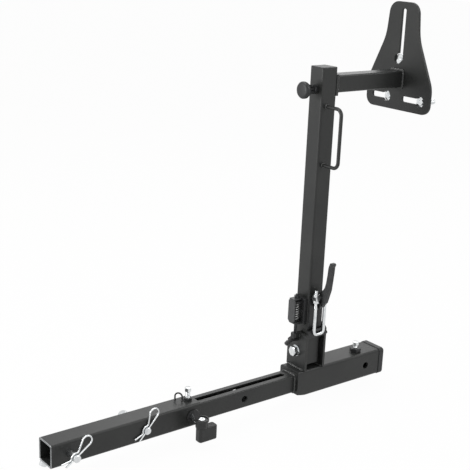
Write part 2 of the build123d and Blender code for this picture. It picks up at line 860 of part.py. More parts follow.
# Mast tube, with a sloping seat in its front wall for the fold pin's nose
stud_hole = stud_diameter + 2 * thread_gap
fold_radius = fold_pin_diameter / 2
fold_nose = fold_radius / tan(radians(fold_pin_angle))
fold_seat_radius = fold_radius + seat_gap / cos(radians(fold_pin_angle))
fold_seat_depth = fold_seat_radius / tan(radians(fold_pin_angle))
base_screw_spots = [(toggle_x, z) for z in toggle_screw_z]
latch_middle_z = (latch_base_bottom + latch_base_top) / 2
latch_screw_spots = [
    (side * latch_screw_spread / 2, latch_middle_z) for side in (-1, 1)
]
with BuildPart() as mast_tube:
    mast_plane = Plane(origin=(mast_x, 0, mast_base))
    square_tube(mast_plane, mast_side, mast_corner, mast_wall, mast_top - mast_base)
    round_hole(across(mast_x), pivot_spot, bush_outer, mast_side)
    round_hole(across(mast_x), [(0, knob_z)], stud_hole, mast_side)
    round_hole(across(mast_front), latch_screw_spots, latch_screw_diameter, 2 * mast_wall)
    round_hole(beside(-mast_half), base_screw_spots, toggle_screw_diameter, 2 * mast_wall)
    with Locations(Plane(origin=(mast_front, 0, fold_pin_z), z_dir=(1, 0, 0))):
        Cone(
            fold_seat_radius,
            0,
            fold_seat_depth,
            align=(Align.CENTER, Align.CENTER, Align.MIN),
            mode=Mode.SUBTRACT,
        )
mast_tube.part.label = "mast_tube"

# Cap with a plug in the mast's top
with BuildPart() as mast_cap:
    cap_plane = Plane(origin=(mast_x, 0, mast_top))
    block(cap_plane, (0, 0), mast_side, mast_side, cap_plate, mast_corner)
    fillet(mast_cap.faces().sort_by(Axis.Z)[-1].edges(), cap_round)
    plug_side = mast_side - 2 * (mast_wall + cap_gap)
    block(cap_plane, (0, 0), plug_side, plug_side, -cap_plug, inside_corner)
mast_cap.part.label = "mast_cap"

# Grab handle on the mast's near face
with BuildPart() as grab_handle:
    handle_run = handle_reach - handle_bend
    handle_drop = handle_top - handle_bottom - 2 * handle_bend
    handle_moves = [(handle_run, 90, handle_bend), (handle_drop, 90, handle_bend)]
    handle_moves.append((handle_run, 0, 0))
    handle_start = (-mast_half, handle_top)
    bent_wire(across(mast_x + handle_shift), handle_start, 180, handle_moves, handle_diameter)
grab_handle.part.label = "grab_handle"

# Fold pin: a bar with a drooping grip, whose sloping nose sits in the mast's front wall
with BuildPart() as fold_pin:
    fold_moves = [(fold_pin_run, fold_pin_droop, fold_pin_bend)]
    grip_plane = bent_wire(beside(0), (mast_front, fold_pin_z), 180, fold_moves, fold_pin_diameter)
    with BuildSketch(grip_plane):
        Circle(fold_grip_diameter / 2)
    extrude(amount=fold_grip_length)
    fillet(fold_pin.faces().sort_by(Axis.X)[0].edges(), fold_grip_diameter / 5)
    with Locations(Plane(origin=(mast_front, 0, fold_pin_z), z_dir=(1, 0, 0))):
        Cone(fold_radius, 0, fold_nose, align=(Align.CENTER, Align.CENTER, Align.MIN))
    fold_clip_x = mast_front - fold_clip_from_mast
    clip_bore = fold_clip_wire + 2 * thread_gap
    round_hole(Plane.XY.offset(fold_pin_z), [(fold_clip_x, 0)], clip_bore, fold_pin_diameter)
fold_pin.part.label = "fold_pin"

# Wire clip through the fold pin
with BuildPart() as fold_pin_clip:
    clip_moves = [
        (fold_clip_down + fold_clip_up, 180, fold_clip_bend),
        (fold_clip_return, 0, 0),
    ]
    clip_start = (0, fold_pin_z - fold_clip_down)
    bent_wire(across(fold_clip_x), clip_start, 90, clip_moves, fold_clip_wire)
fold_pin_clip.part.label = "fold_pin_clip"

# Base of the spring plunger: a block with a lug at either end of the spring
latch_face_x = mast_front - latch_base_thickness
lug_x = latch_face_x - latch_lug_reach
plunger_bore = plunger_diameter + 2 * pin_gap
with BuildPart() as latch_base:
    base_height = latch_base_top - latch_base_bottom
    block(across(latch_face_x), (0, latch_middle_z), latch_base_width, base_height, latch_base_thickness)
    for lug_z in (latch_base_bottom, latch_upper_lug_z):
        lug_centre = (latch_face_x - latch_lug_reach / 2, 0)
        block(
            Plane.XY.offset(lug_z), lug_centre, latch_lug_reach, latch_lug_width, latch_lug_thickness
        )
    round_hole(Plane.XY.offset(latch_middle_z), [(plunger_x, 0)], plunger_bore, base_height)
    upright_edges = latch_base.edges().filter_by(Axis.Z).group_by(Axis.X)[0]
    fillet(upright_edges, latch_lug_width / 6)
    screw_clearance = latch_screw_diameter + 2 * thread_gap
    round_hole(across(mast_front), latch_screw_spots, screw_clearance, latch_base_thickness)
latch_base.part.label = "latch_base"

with BuildPart() as latch_screws:
    round_bar(across(latch_face_x), latch_screw_spots, latch_screw_diameter, latch_screw_length)
    round_bar(
        across(latch_face_x), latch_screw_spots, latch_screw_head, -latch_screw_head_height
    )
latch_screws.part.label = "latch_screws"

# Plunger with a collar for the spring and a sloping nose for the keeper
plunger_spot = [(plunger_x, 0)]
collar_z = latch_base_bottom + latch_lug_thickness + seat_gap
flange_z = plunger_shoulder_z
with BuildPart() as plunger_rod:
    rod_plane = Plane.XY.offset(keeper_top)
    round_bar(rod_plane, plunger_spot, plunger_diameter, plunger_top_z - keeper_top)
    round_bar(Plane.XY.offset(collar_z), plunger_spot, plunger_collar, plunger_collar_thickness)
    with Locations((plunger_x, 0, keeper_top)):
        Cone(
            0,
            plunger_diameter / 2,
            nose_height,
            align=(Align.CENTER, Align.CENTER, Align.MAX),
        )
plunger_rod.part.label = "plunger_rod"

with BuildPart() as plunger_nut:
    nut_z = flange_z + pull_flange_thickness
    hexagon(
        Plane.XY.offset(nut_z), plunger_spot, plunger_nut_flats, plunger_nut_height, plunger_diameter
    )
plunger_nut.part.label = "plunger_nut"

# Plate in front of the spring, bent over at the top on to the plunger
pull_plate_x = lug_x - pull_plate_gap - pull_plate_thickness
with BuildPart() as pull_plate:
    plate_height = latch_base_top - pull_plate_bottom
    pull_plate_centre = (0, pull_plate_bottom + plate_height / 2)
    block(
        across(pull_plate_x), pull_plate_centre, pull_plate_width, plate_height, pull_plate_thickness
    )
    chamfer(pull_plate.edges().filter_by(Axis.X), pull_plate_chamfer)
    flange_end = plunger_x + plunger_nut_flats / 2
    flange_centre = ((pull_plate_x + flange_end) / 2, 0)
    flange_length = flange_end - pull_plate_x
    block(
        Plane.XY.offset(flange_z), flange_centre, flange_length, pull_flange_width, pull_flange_thickness
    )
    round_hole(Plane.XY.offset(flange_z), plunger_spot, plunger_diameter, plate_height)
pull_plate.part.label = "pull_plate"

# Coil spring: quarter turns of a helix, each drawn as two arcs that share a tangent
coil_radius = (spring_diameter - spring_wire) / 2
coil_bottom = collar_z + plunger_collar_thickness + spring_bottom_gap + spring_wire / 2
coil_top = latch_upper_lug_z - spring_top_gap - spring_wire / 2
coil_rise = coil_top - coil_bottom


def coil_point(quarter):
    angle = quarter * pi / 2
    height = coil_bottom + coil_rise * quarter / (4 * spring_turns)
    return Vector(plunger_x + coil_radius * cos(angle), coil_radius * sin(angle), height)


def coil_direction(quarter):
    angle = quarter * pi / 2
    climb = coil_rise / (2 * pi * spring_turns)
    return Vector(-coil_radius * sin(angle), coil_radius * cos(angle), climb).normalized()


with BuildPart() as plunger_spring:
    with BuildLine() as coil:
        Line(coil_point(0) - coil_direction(0) * spring_wire, coil_point(0))
        for quarter in range(4 * spring_turns):
            first, last = coil_point(quarter), coil_point(quarter + 1)
            leaving, arriving = coil_direction(quarter), coil_direction(quarter + 1)
            chord, both = last - first, leaving + arriving
            spread = both.dot(both) - 4
            middle = chord.dot(both)
            reach = (middle - sqrt(middle**2 - spread * chord.dot(chord))) / spread
            joint = (first + leaving * reach + last - arriving * reach) * 0.5
            across_joint = (last - arriving * reach) - (first + leaving * reach)
            TangentArc(first, joint, tangent=leaving)
            TangentArc(joint, last, tangent=across_joint)
        end_quarter = 4 * spring_turns
        Line(coil_point(end_quarter), coil_point(end_quarter) + coil_direction(end_quarter) * spring_wire)
    with BuildSketch(Plane(origin=coil.line @ 0, z_dir=coil.line % 0)):
        Circle(spring_wire / 2)
    sweep(path=coil.line)
plunger_spring.part.label = "plunger_spring"

# Least gap between the spring's turns, measured between points on its centre line
per_turn = 60
samples = per_turn * spring_turns
centre_points = [coil.line @ (index / samples) for index in range(samples + 1)]
least = min(
    (centre_points[i] - centre_points[j]).length
    for i in range(samples + 1)
    for j in range(i + per_turn * 2 // 3, samples + 1)
)
print("spring: least gap between turns", round(least - spring_wire, 2), "mm")

# Base of the toggle latch, with two ears for the lever's pin
toggle_face_y = -mast_half - toggle_base_thickness
toggle_pivot = (-mast_half - toggle_pivot_out, toggle_pivot_z)
toggle_bore = toggle_pin_diameter + 2 * thread_gap
ear_outer = toggle_ear_gap / 2 + toggle_ear_thickness
with BuildPart() as toggle_base:
    toggle_height = toggle_base_top - toggle_base_bottom
    toggle_centre = (mast_x, toggle_base_bottom + toggle_height / 2)
    block(beside(-mast_half), toggle_centre, toggle_base_width, toggle_height, toggle_base_thickness)
    for ear_x in (toggle_x - ear_outer, toggle_x + toggle_ear_gap / 2):
        with BuildSketch(across(ear_x)):
            with Locations(toggle_pivot):
                Circle(toggle_ear_round)
            ear_reach = toggle_face_y - toggle_pivot[0]
            with Locations((toggle_pivot[0] + ear_reach / 2, toggle_pivot_z)):
                Rectangle(ear_reach, 2 * toggle_ear_round)
        extrude(amount=toggle_ear_thickness)
    round_hole(across(toggle_x), [toggle_pivot], toggle_bore, mast_half)
    toggle_screw_hole = toggle_screw_diameter + 2 * thread_gap
    round_hole(beside(-mast_half), base_screw_spots, toggle_screw_hole, 2 * toggle_base_thickness)
toggle_base.part.label = "toggle_base"

with BuildPart() as toggle_screws:
    screw_plane = beside(toggle_face_y)
    toggle_screw_run = toggle_base_thickness + mast_wall
    round_bar(screw_plane, base_screw_spots, toggle_screw_diameter, -toggle_screw_run)
    round_bar(screw_plane, base_screw_spots, toggle_screw_head, toggle_screw_head_height)
toggle_screws.part.label = "toggle_screws"

with BuildPart() as toggle_pin:
    pin_x = toggle_x - toggle_pin_length / 2
    round_bar(across(pin_x), [toggle_pivot], toggle_pin_diameter, toggle_pin_length)
toggle_pin.part.label = "toggle_pin"

# Lever, drawn from the mast's near face outwards
trunnion_spot = (u_bolt_y, trunnion_z)
with BuildPart() as toggle_lever:
    with BuildSketch(across(toggle_x - lever_thickness / 2)) as lever_sketch:
        with BuildLine():
            Polyline(*[(-mast_half + out, z) for out, z in lever_outline], close=True)
        make_face()
        fillet(lever_sketch.vertices(), lever_round)
    extrude(amount=lever_thickness)
    round_hole(across(toggle_x), [toggle_pivot], toggle_bore, lever_thickness)
    trunnion_bore = trunnion_diameter + 2 * thread_gap
    round_hole(across(toggle_x), [trunnion_spot], trunnion_bore, lever_thickness)
toggle_lever.part.label = "toggle_lever"

# Trunnion: a round bar through the lever, with a block at either end for the U bolt
rod_xs = [toggle_x - u_bolt_spread / 2, toggle_x + u_bolt_spread / 2]
rod_spots = [(x, u_bolt_y) for x in rod_xs]
block_width, block_depth, block_height = trunnion_block
with BuildPart() as trunnion:
    trunnion_length = u_bolt_spread
    round_bar(across(rod_xs[0]), [trunnion_spot], trunnion_diameter, trunnion_length)
    for spot in rod_spots:
        block_plane = Plane.XY.offset(trunnion_z - block_height / 2)
        block(block_plane, spot, block_width, block_depth, block_height)
    round_hole(Plane.XY.offset(trunnion_z), rod_spots, u_bolt_diameter, block_depth)
trunnion.part.label = "trunnion"

with BuildPart() as u_bolt:
    u_drop = u_bolt_top - u_bolt_bottom - u_bolt_bend
    u_moves = [
        (u_drop, 90, u_bolt_bend),
        (u_bolt_spread - 2 * u_bolt_bend, 90, u_bolt_bend),
        (u_drop, 0, 0),
    ]
    bent_wire(beside(u_bolt_y), (rod_xs[0], u_bolt_top), -90, u_moves, u_bolt_diameter)
u_bolt.part.label = "u_bolt"

with BuildPart() as u_bolt_nuts:
    lower_nut_z = trunnion_z - block_height / 2 - u_nut_height
    upper_nut_z = trunnion_z + block_height / 2
    for nut_z in (lower_nut_z, upper_nut_z):
        hexagon(
            Plane.XY.offset(nut_z), rod_spots, u_nut_flats, u_nut_height, u_bolt_diameter, turned=30
        )
u_bolt_nuts.part.label = "u_bolt_nuts"

# Saddle plate, arm and the plug that takes the knob's stud
arm_plane = Plane(origin=(arm_front, 0, arm_z), x_dir=(0, 1, 0), z_dir=(1, 0, 0))
arm_inside = arm_side - 2 * arm_wall
with BuildPart() as saddle_plate:
    saddle_centre = (0, arm_z - saddle_drop)
    block(across(mast_rear), saddle_centre, mast_side, saddle_height, saddle_thickness)
    round_hole(across(mast_rear), [(0, knob_z)], stud_hole, 2 * saddle_thickness)
saddle_plate.part.label = "saddle_plate"

with BuildPart() as arm_tube:
    square_tube(arm_plane, arm_side, mast_corner, arm_wall, plate_front - arm_front)
arm_tube.part.label = "arm_tube"

with BuildPart() as arm_plug:
    block(arm_plane, (0, 0), arm_inside, arm_inside, plug_length, inside_corner)
    round_hole(across(arm_front), [(0, knob_z)], stud_hole, 2 * plug_length)
arm_plug.part.label = "arm_plug"

# Knob: a fluted hub under a broad disc, on a stud through mast, saddle and plug
boss_x = mast_front - knob_boss_length
hub_x = boss_x - seat_gap - knob_hub_length
disc_x = hub_x - knob_disc_thickness
with BuildPart() as knob:
    round_bar(across(disc_x), [(0, knob_z)], knob_disc, knob_disc_thickness)
    fillet(knob.edges(), knob_disc_thickness / 3)
    round_bar(across(hub_x - knob_joint), [(0, knob_z)], knob_hub, knob_hub_length + knob_joint)
    with BuildSketch(across(hub_x + knob_joint)):
        with Locations((0, knob_z)):
            with PolarLocations(knob_hub / 2 + knob_flute / 4, knob_flutes):
                Circle(knob_flute / 2)
    extrude(amount=knob_hub_length, mode=Mode.SUBTRACT)
    stud_start = hub_x + knob_hub_length - stud_in_knob
    round_bar(across(stud_start), [(0, knob_z)], stud_diameter, knob_disc, mode=Mode.SUBTRACT)
knob.part.label = "knob"

with BuildPart() as knob_stud:
    stud_end = arm_front + plug_length
    round_bar(across(stud_start), [(0, knob_z)], stud_diameter, stud_end - stud_start)
knob_stud.part.label = "knob_stud"

with BuildPart() as knob_nut:
    ring(across(boss_x), [(0, knob_z)], knob_boss, stud_hole, knob_boss_length)
knob_nut.part.label = "knob_nut"

# Wheel plate: half its outline runs down from the top's middle, and the other half mirrors it
taper = radians(plate_taper)
flare = radians(plate_flare)
neck_foot_half = plate_top_half + plate_top_round * cos(taper) + plate_neck_run * sin(taper)
flare_rest = plate_foot_half - neck_foot_half
flare_rest -= plate_waist_round * (cos(taper) - cos(flare)) + plate_hip_round * (1 - cos(flare))
flare_run = flare_rest / sin(flare)
flare_height = plate_waist_round * (sin(flare) - sin(taper)) + plate_hip_round * sin(flare)
flare_height += flare_run * cos(flare)
plate_foot = plate_top - plate_top_round * (1 - sin(taper)) - plate_neck_run * cos(taper)
plate_foot -= flare_height + plate_side_run + plate_foot_round
foot_keyhole_z = plate_foot + foot_keyhole_rise
left_keyhole_y = plate_foot_half - left_slot_margin - left_slot_reach
right_keyhole_y = right_keyhole_margin - plate_foot_half
top_keyhole = (-plate_shift, plate_top - top_keyhole_drop)
left_keyhole = (left_keyhole_y, foot_keyhole_z)
right_keyhole = (right_keyhole_y, foot_keyhole_z)
keyholes = [top_keyhole, left_keyhole, right_keyhole]
stud_spots = [
    (plate_shift + spot[0] + shift[0], spot[1] + shift[1])
    for spot, shift in zip(keyholes, stud_shifts)
]
wheel_plate_plane = Plane(origin=(plate_front, plate_shift, 0), x_dir=(0, 1, 0), z_dir=(1, 0, 0))
with BuildPart() as wheel_plate:
    with BuildSketch(wheel_plate_plane):
        with BuildLine():
            outline_moves = [
                (plate_top_half, plate_taper - 90, plate_top_round),
                (plate_neck_run, plate_flare - plate_taper, plate_waist_round),
                (flare_run, -plate_flare, plate_hip_round),
                (plate_side_run, -90, plate_foot_round),
            ]
            foot = bend_line((0, plate_top), 0, outline_moves)
            Line(tuple(foot), (0, foot.Y))
            mirror(about=Plane.YZ)
        make_face()
        with Locations(*keyholes):
            Circle(keyhole_diameter / 2, mode=Mode.SUBTRACT)
        right_reach = -right_slot_end - right_keyhole_y
        for y, reach in ((left_keyhole_y, left_slot_reach), (right_keyhole_y, right_reach)):
            with Locations((y + reach / 2, foot_keyhole_z)):
                RectangleRounded(reach, keyhole_slot, keyhole_slot_round, mode=Mode.SUBTRACT)
        top_reach = top_keyhole_drop - top_slot_margin
        with Locations((0, top_keyhole[1] + top_reach / 2)):
            RectangleRounded(keyhole_slot, top_reach, keyhole_slot_round, mode=Mode.SUBTRACT)
    extrude(amount=plate_thickness)
wheel_plate.part.label = "wheel_plate"

with BuildPart() as wheel_studs:
    round_bar(across(plate_front), stud_spots, wheel_stud_diameter, wheel_stud_length)
    chamfer(wheel_studs.faces().filter_by(Axis.X).edges(), stud_chamfer)
wheel_studs.part.label = "wheel_studs"

with BuildPart() as wheel_washers:
    ring(
        across(plate_rear), stud_spots, wheel_washer_diameter, wheel_stud_diameter, wheel_washer_thickness
    )
wheel_washers.part.label = "wheel_washers"

with BuildPart() as wheel_nuts:
    wheel_nut_plane = across(plate_rear + wheel_washer_thickness)
    hexagon(wheel_nut_plane, stud_spots, wheel_nut_flats, wheel_nut_height, wheel_stud_diameter)
wheel_nuts.part.label = "wheel_nuts"

pieces = [
    shank_tube,
    slide_bar,
    receiver_tube,
    receiver_end_plate,
    receiver_cap,
    shank_bolt,
    shank_nut,
    receiver_bolt,
    receiver_nut,
    tether_loop,
    hitch_pin,
    hitch_clip,
    length_pin,
    length_clip,
    lock_pin,
    lock_washer,
    lock_body,
    lock_collar,
    key_cylinder,
    dust_cap,
    front_plate,
    rear_plate,
    catch,
    catch_screws,
    keeper,
    pivot_bolt,
    pivot_nut,
    pivot_washers,
    pivot_bush,
    mast_tube,
    mast_cap,
    grab_handle,
    fold_pin,
    fold_pin_clip,
    latch_base,
    latch_screws,
    plunger_rod,
    plunger_nut,
    pull_plate,
    plunger_spring,
    toggle_base,
    toggle_screws,
    toggle_pin,
    toggle_lever,
    trunnion,
    u_bolt,
    u_bolt_nuts,
    saddle_plate,
    arm_tube,
    arm_plug,
    knob,
    knob_stud,
    knob_nut,
    wheel_plate,
    wheel_studs,
    wheel_washers,
    wheel_nuts,
]
for piece in pieces:
    export_step(piece.part, f"parts/{piece.part.label}.step")
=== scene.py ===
from math import ceil, cos, floor, pi, radians, sin, sqrt, tan

import bmesh
import bpy
from mathutils import Matrix, Vector


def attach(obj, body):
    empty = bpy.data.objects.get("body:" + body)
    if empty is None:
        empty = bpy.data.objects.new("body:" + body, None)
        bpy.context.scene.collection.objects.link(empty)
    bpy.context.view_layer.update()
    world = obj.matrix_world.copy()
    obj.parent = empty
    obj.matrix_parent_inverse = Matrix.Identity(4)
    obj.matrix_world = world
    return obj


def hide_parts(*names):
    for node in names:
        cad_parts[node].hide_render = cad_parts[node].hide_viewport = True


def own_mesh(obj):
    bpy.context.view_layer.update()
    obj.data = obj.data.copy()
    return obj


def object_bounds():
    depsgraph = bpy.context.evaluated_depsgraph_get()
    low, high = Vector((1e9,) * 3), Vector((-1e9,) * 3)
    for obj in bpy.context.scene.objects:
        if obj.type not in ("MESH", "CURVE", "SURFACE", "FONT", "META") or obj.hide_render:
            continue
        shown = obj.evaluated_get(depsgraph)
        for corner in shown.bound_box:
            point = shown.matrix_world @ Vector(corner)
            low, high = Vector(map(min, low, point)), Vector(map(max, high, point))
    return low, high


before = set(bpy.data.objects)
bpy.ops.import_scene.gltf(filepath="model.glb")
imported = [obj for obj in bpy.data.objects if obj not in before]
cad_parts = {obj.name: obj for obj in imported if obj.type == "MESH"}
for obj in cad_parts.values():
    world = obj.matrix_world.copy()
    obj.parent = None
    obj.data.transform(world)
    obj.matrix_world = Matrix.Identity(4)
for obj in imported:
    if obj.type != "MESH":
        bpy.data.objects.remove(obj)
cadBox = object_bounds()
print("carrier: frame loaded")

mm = 0.001  # of a metre, which is the frame's unit

# The camera stands where the photograph was taken from; place in metres, angles in degrees.
photoView = {"place": (-0.8799, -1.6360, 0.9920), "yaw": 51.79, "pitch": 16.43, "roll": 2.42, "lens": 78.91,
             "sensorWidth": 36.0, "farthest": 60.0}


# The matrix of a camera or a lamp that stands at a place and looks along forward, rolled about that line.
def aimedMatrix(place, forward, roll=0.0):
    right = forward.cross(Vector((0, 0, 1))).normalized()
    up = right.cross(forward)
    turned = cos(roll) * right + sin(roll) * up
    upTurned = -sin(roll) * right + cos(roll) * up
    basis = Matrix((turned, upTurned, -forward)).transposed().to_4x4()
    basis.translation = place
    return basis


def placeCamera():
    yaw, pitch = radians(photoView["yaw"]), radians(photoView["pitch"])
    forward = Vector((cos(pitch) * cos(yaw), cos(pitch) * sin(yaw), -sin(pitch)))
    data = bpy.data.cameras.new("photoCamera")
    data.lens = photoView["lens"]
    data.sensor_width = photoView["sensorWidth"]
    data.sensor_fit = "HORIZONTAL"
    data.clip_end = photoView["farthest"]
    camera = bpy.data.objects.new("photoCamera", data)
    camera.matrix_world = aimedMatrix(Vector(photoView["place"]), forward, radians(photoView["roll"]))
    bpy.context.scene.collection.objects.link(camera)
    bpy.context.scene.camera = camera


# An sRGB hex colour as the linear one that Blender's sockets take.
def linearColour(hexText):
    values = [int(hexText[i:i + 2], 16) / 255 for i in (1, 3, 5)]
    return tuple(v / 12.92 if v <= 0.04045 else ((v + 0.055) / 1.055) ** 2.4 for v in values) + (1.0,)


# One shader node: its settings, then its sockets, each set to a value or linked from another socket.
def addNode(tree, kind, inputs=None, **settings):
    node = tree.nodes.new(kind)
    for name, value in settings.items():
        setattr(node, name, value)
    for socket, value in (inputs or {}).items():
        if isinstance(value, bpy.types.NodeSocket):
            tree.links.new(value, node.inputs[socket])
        else:
            node.inputs[socket].default_value = value
    return node


def setRamp(node, stops):
    ramp = node.color_ramp
    while len(ramp.elements) < len(stops):
        ramp.elements.new(0.5)
    for element, (position, colour) in zip(ramp.elements, stops):
        element.position = position
        element.color = colour
    return node


# What all finishes share: the noise values between which a pattern changes, how far the bevelled normal has turned
# where wear starts and where it is full (as a cosine), and the size of the worn patches.
finishRules = {"noiseLow": 0.3, "noiseHigh": 0.7, "driftDetail": 3.0, "wearStarts": 0.99, "wearFull": 0.86,
               "patchMm": 6, "patchDetail": 4.0, "bevelSamples": 4}


# One surface of this object: a base colour that drifts over the piece, a grain in real millimetres that moves the
# gloss and the relief, edges softened by a bevel and, where the look says so, a coat worn thin on them.
def makeFinish(name, look):
    rules = finishRules
    material = bpy.data.materials.new(name)
    material.use_nodes = True
    tree = material.node_tree
    shader = tree.nodes["Principled BSDF"]
    shader.inputs["Metallic"].default_value = look.get("metallic", 0.0)
    if "ior" in look:
        shader.inputs["IOR"].default_value = look["ior"]
    place = addNode(tree, "ShaderNodeTexCoord").outputs["Object"]
    drawn = addNode(tree, "ShaderNodeMapping", {"Vector": place, "Scale": look.get("stretch", (1, 1, 1))})
    drift = addNode(tree, "ShaderNodeTexNoise", {
        "Vector": place, "Scale": 1 / (look["driftMm"] * mm), "Detail": rules["driftDetail"]})
    shades = setRamp(addNode(tree, "ShaderNodeValToRGB", {"Fac": drift.outputs["Fac"]}), [
        (rules["noiseLow"], linearColour(look["dark"])), (rules["noiseHigh"], linearColour(look["light"]))])
    colour = shades.outputs["Color"]
    bevel = addNode(tree, "ShaderNodeBevel", {"Radius": look["edgeMm"] * mm}, samples=rules["bevelSamples"])
    edge = bevel.outputs["Normal"]
    if "worn" in look:
        trueNormal = addNode(tree, "ShaderNodeNewGeometry").outputs["Normal"]
        facing = addNode(tree, "ShaderNodeVectorMath", {0: edge, 1: trueNormal}, operation="DOT_PRODUCT")
        patchy = addNode(tree, "ShaderNodeTexNoise", {
            "Vector": place, "Scale": 1 / (rules["patchMm"] * mm), "Detail": rules["patchDetail"]})
        onEdge = addNode(tree, "ShaderNodeMapRange", {
            "Value": facing.outputs["Value"], "From Min": rules["wearStarts"], "From Max": rules["wearFull"],
            "To Min": 0.0, "To Max": look["wear"]})
        amount = addNode(tree, "ShaderNodeMath", {
            0: onEdge.outputs["Result"], 1: patchy.outputs["Fac"]}, operation="MULTIPLY", use_clamp=True)
        wornMix = addNode(tree, "ShaderNodeMix", {"Factor": amount.outputs["Value"]}, data_type="RGBA")
        tree.links.new(colour, wornMix.inputs[6])  # sockets 6, 7 and 2 are its two colours and their mix
        wornMix.inputs[7].default_value = linearColour(look["worn"])
        colour = wornMix.outputs[2]
    tree.links.new(colour, shader.inputs["Base Color"])
    grain = addNode(tree, "ShaderNodeTexNoise", {
        "Vector": drawn.outputs["Vector"], "Scale": 1 / (look["grainMm"] * mm),
        "Detail": look.get("grainDetail", 2.0), "Roughness": look.get("grainRough", 0.5)})
    gloss = addNode(tree, "ShaderNodeMapRange", {
        "Value": grain.outputs["Fac"], "From Min": rules["noiseLow"], "From Max": rules["noiseHigh"],
        "To Min": look["roughness"] - look["glossSpread"], "To Max": look["roughness"] + look["glossSpread"]})
    tree.links.new(gloss.outputs["Result"], shader.inputs["Roughness"])
    relief = addNode(tree, "ShaderNodeBump", {
        "Strength": look["relief"], "Distance": look["reliefMm"] * mm, "Height": grain.outputs["Fac"],
        "Normal": edge})
    if "pits" in look:
        pits = addNode(tree, "ShaderNodeTexVoronoi", {"Vector": place, "Scale": 1 / (look["pitMm"] * mm)})
        relief = addNode(tree, "ShaderNodeBump", {
            "Strength": look["pits"], "Distance": look["reliefMm"] * mm, "Height": pits.outputs["Distance"],
            "Normal": relief.outputs["Normal"]})
    tree.links.new(relief.outputs["Normal"], shader.inputs["Normal"])
    return material


# Polyester powder coat baked on mild steel: satin, with a faint orange peel and a thinner, greyer film on edges.
# The peel is about 1.6 mm across on the real thing and is drawn at 2.2 mm, to show at all.
satinPowderCoat = makeFinish("satinPowderCoat", {
    "ior": 1.40, "dark": "#212222", "light": "#2a2b2a", "driftMm": 90, "edgeMm": 0.9, "worn": "#585958",
    "wear": 0.9, "grainMm": 2.2, "grainDetail": 2.0, "relief": 0.16, "reliefMm": 0.25, "roughness": 0.38,
    "glossSpread": 0.035})
# The same powder on hot rolled plate, whose mill scale leaves the film more matt; its colour is a shade darker as
# painted shade, for the wheel plate's faces that turn from the lamps.
shadedMattPowderCoat = makeFinish("shadedMattPowderCoat", {
    "ior": 1.38, "dark": "#1a1b1b", "light": "#232423", "driftMm": 70, "edgeMm": 0.9, "worn": "#555655",
    "wear": 0.9, "grainMm": 2.4, "grainDetail": 3.0, "relief": 0.2, "reliefMm": 0.25, "roughness": 0.46,
    "glossSpread": 0.04})
# The satin coat over a welding bead, where it pools and shines more; its colour, a shade lighter than the coat's, is
# a painted highlight on the bead.
coatedWeld = makeFinish("coatedWeld", {
    "dark": "#262727", "light": "#363736", "driftMm": 12, "edgeMm": 0.3, "worn": "#6a6b6a", "wear": 0.8,
    "grainMm": 1.1, "grainDetail": 3.0, "relief": 0.3, "reliefMm": 0.2, "roughness": 0.24, "glossSpread": 0.06})
# The light rings at the shank's mouth: a painted highlight, light grey and half metal, for the shine along the
# rounded rim of the satin coat.
mouthRimHighlight = makeFinish("mouthRimHighlight", {
    "metallic": 0.6, "dark": "#77797a", "light": "#a4a6a7", "driftMm": 7, "edgeMm": 0.3, "grainMm": 0.8,
    "grainDetail": 4.0, "relief": 0.2, "reliefMm": 0.08, "roughness": 0.34, "glossSpread": 0.07})
# Bright zinc plate on machined or formed steel: clear passivated, slightly clouded.
brightZinc = makeFinish("brightZinc", {
    "metallic": 1.0, "dark": "#c9ccce", "light": "#e2e4e4", "driftMm": 9, "edgeMm": 0.35,
    "grainMm": 0.9, "grainDetail": 4.0, "relief": 0.08, "reliefMm": 0.06, "roughness": 0.2, "glossSpread": 0.05})
# Zinc plated pins, drawn through a die first, so fine lines run along them.
drawnZinc = makeFinish("drawnZinc", {
    "metallic": 1.0, "dark": "#c2c5c7", "light": "#dddfe0", "driftMm": 14, "edgeMm": 0.4, "stretch": (1, 0.04, 1),
    "grainMm": 0.5, "grainDetail": 3.0, "relief": 0.1, "reliefMm": 0.05, "roughness": 0.22, "glossSpread": 0.05})
# Hard drawn spring wire, plated bright.
springWire = makeFinish("springWire", {
    "metallic": 1.0, "dark": "#c6c9cb", "light": "#e4e6e6", "driftMm": 6, "edgeMm": 0.2,
    "grainMm": 0.4, "grainDetail": 3.0, "relief": 0.08, "reliefMm": 0.04, "roughness": 0.22, "glossSpread": 0.05})
# The plunger's spring: the same wire, drawn near white and only half metal so that it stays bright in the shade
# between the pull plate and the base: painted light.
brightenedSpring = makeFinish("brightenedSpring", {
    "metallic": 0.45, "dark": "#dcdedd", "light": "#f2f2f0", "driftMm": 6, "edgeMm": 0.2,
    "grainMm": 0.4, "grainDetail": 3.0, "relief": 0.08, "reliefMm": 0.04, "roughness": 0.3, "glossSpread": 0.05})
# Black oxide on forged steel hardware: thin, oily, and rubbed grey along the corners.
blackOxide = makeFinish("blackOxide", {
    "metallic": 0.35, "dark": "#242526", "light": "#303132", "driftMm": 8, "edgeMm": 0.5, "worn": "#77797b",
    "wear": 0.9, "grainMm": 0.7, "grainDetail": 4.0, "relief": 0.2, "reliefMm": 0.08, "roughness": 0.4,
    "glossSpread": 0.07})
# Forged lever and brackets, painted black: softer corners and a slightly uneven skin.
paintedForging = makeFinish("paintedForging", {
    "ior": 1.42, "dark": "#1d1e1f", "light": "#29292a", "driftMm": 16, "edgeMm": 0.9, "worn": "#5d5f62",
    "wear": 0.7, "grainMm": 1.7, "grainDetail": 4.0, "relief": 0.28, "reliefMm": 0.22, "roughness": 0.38,
    "glossSpread": 0.06})
# Die cast zinc painted satin black: the lock's body, smooth with a fine pebble.
paintedCasting = makeFinish("paintedCasting", {
    "ior": 1.42, "dark": "#1b1c1c", "light": "#242525", "driftMm": 20, "edgeMm": 1.8, "worn": "#505252",
    "wear": 0.5, "grainMm": 1.0, "grainDetail": 2.0, "relief": 0.18, "reliefMm": 0.12, "roughness": 0.36,
    "glossSpread": 0.04})
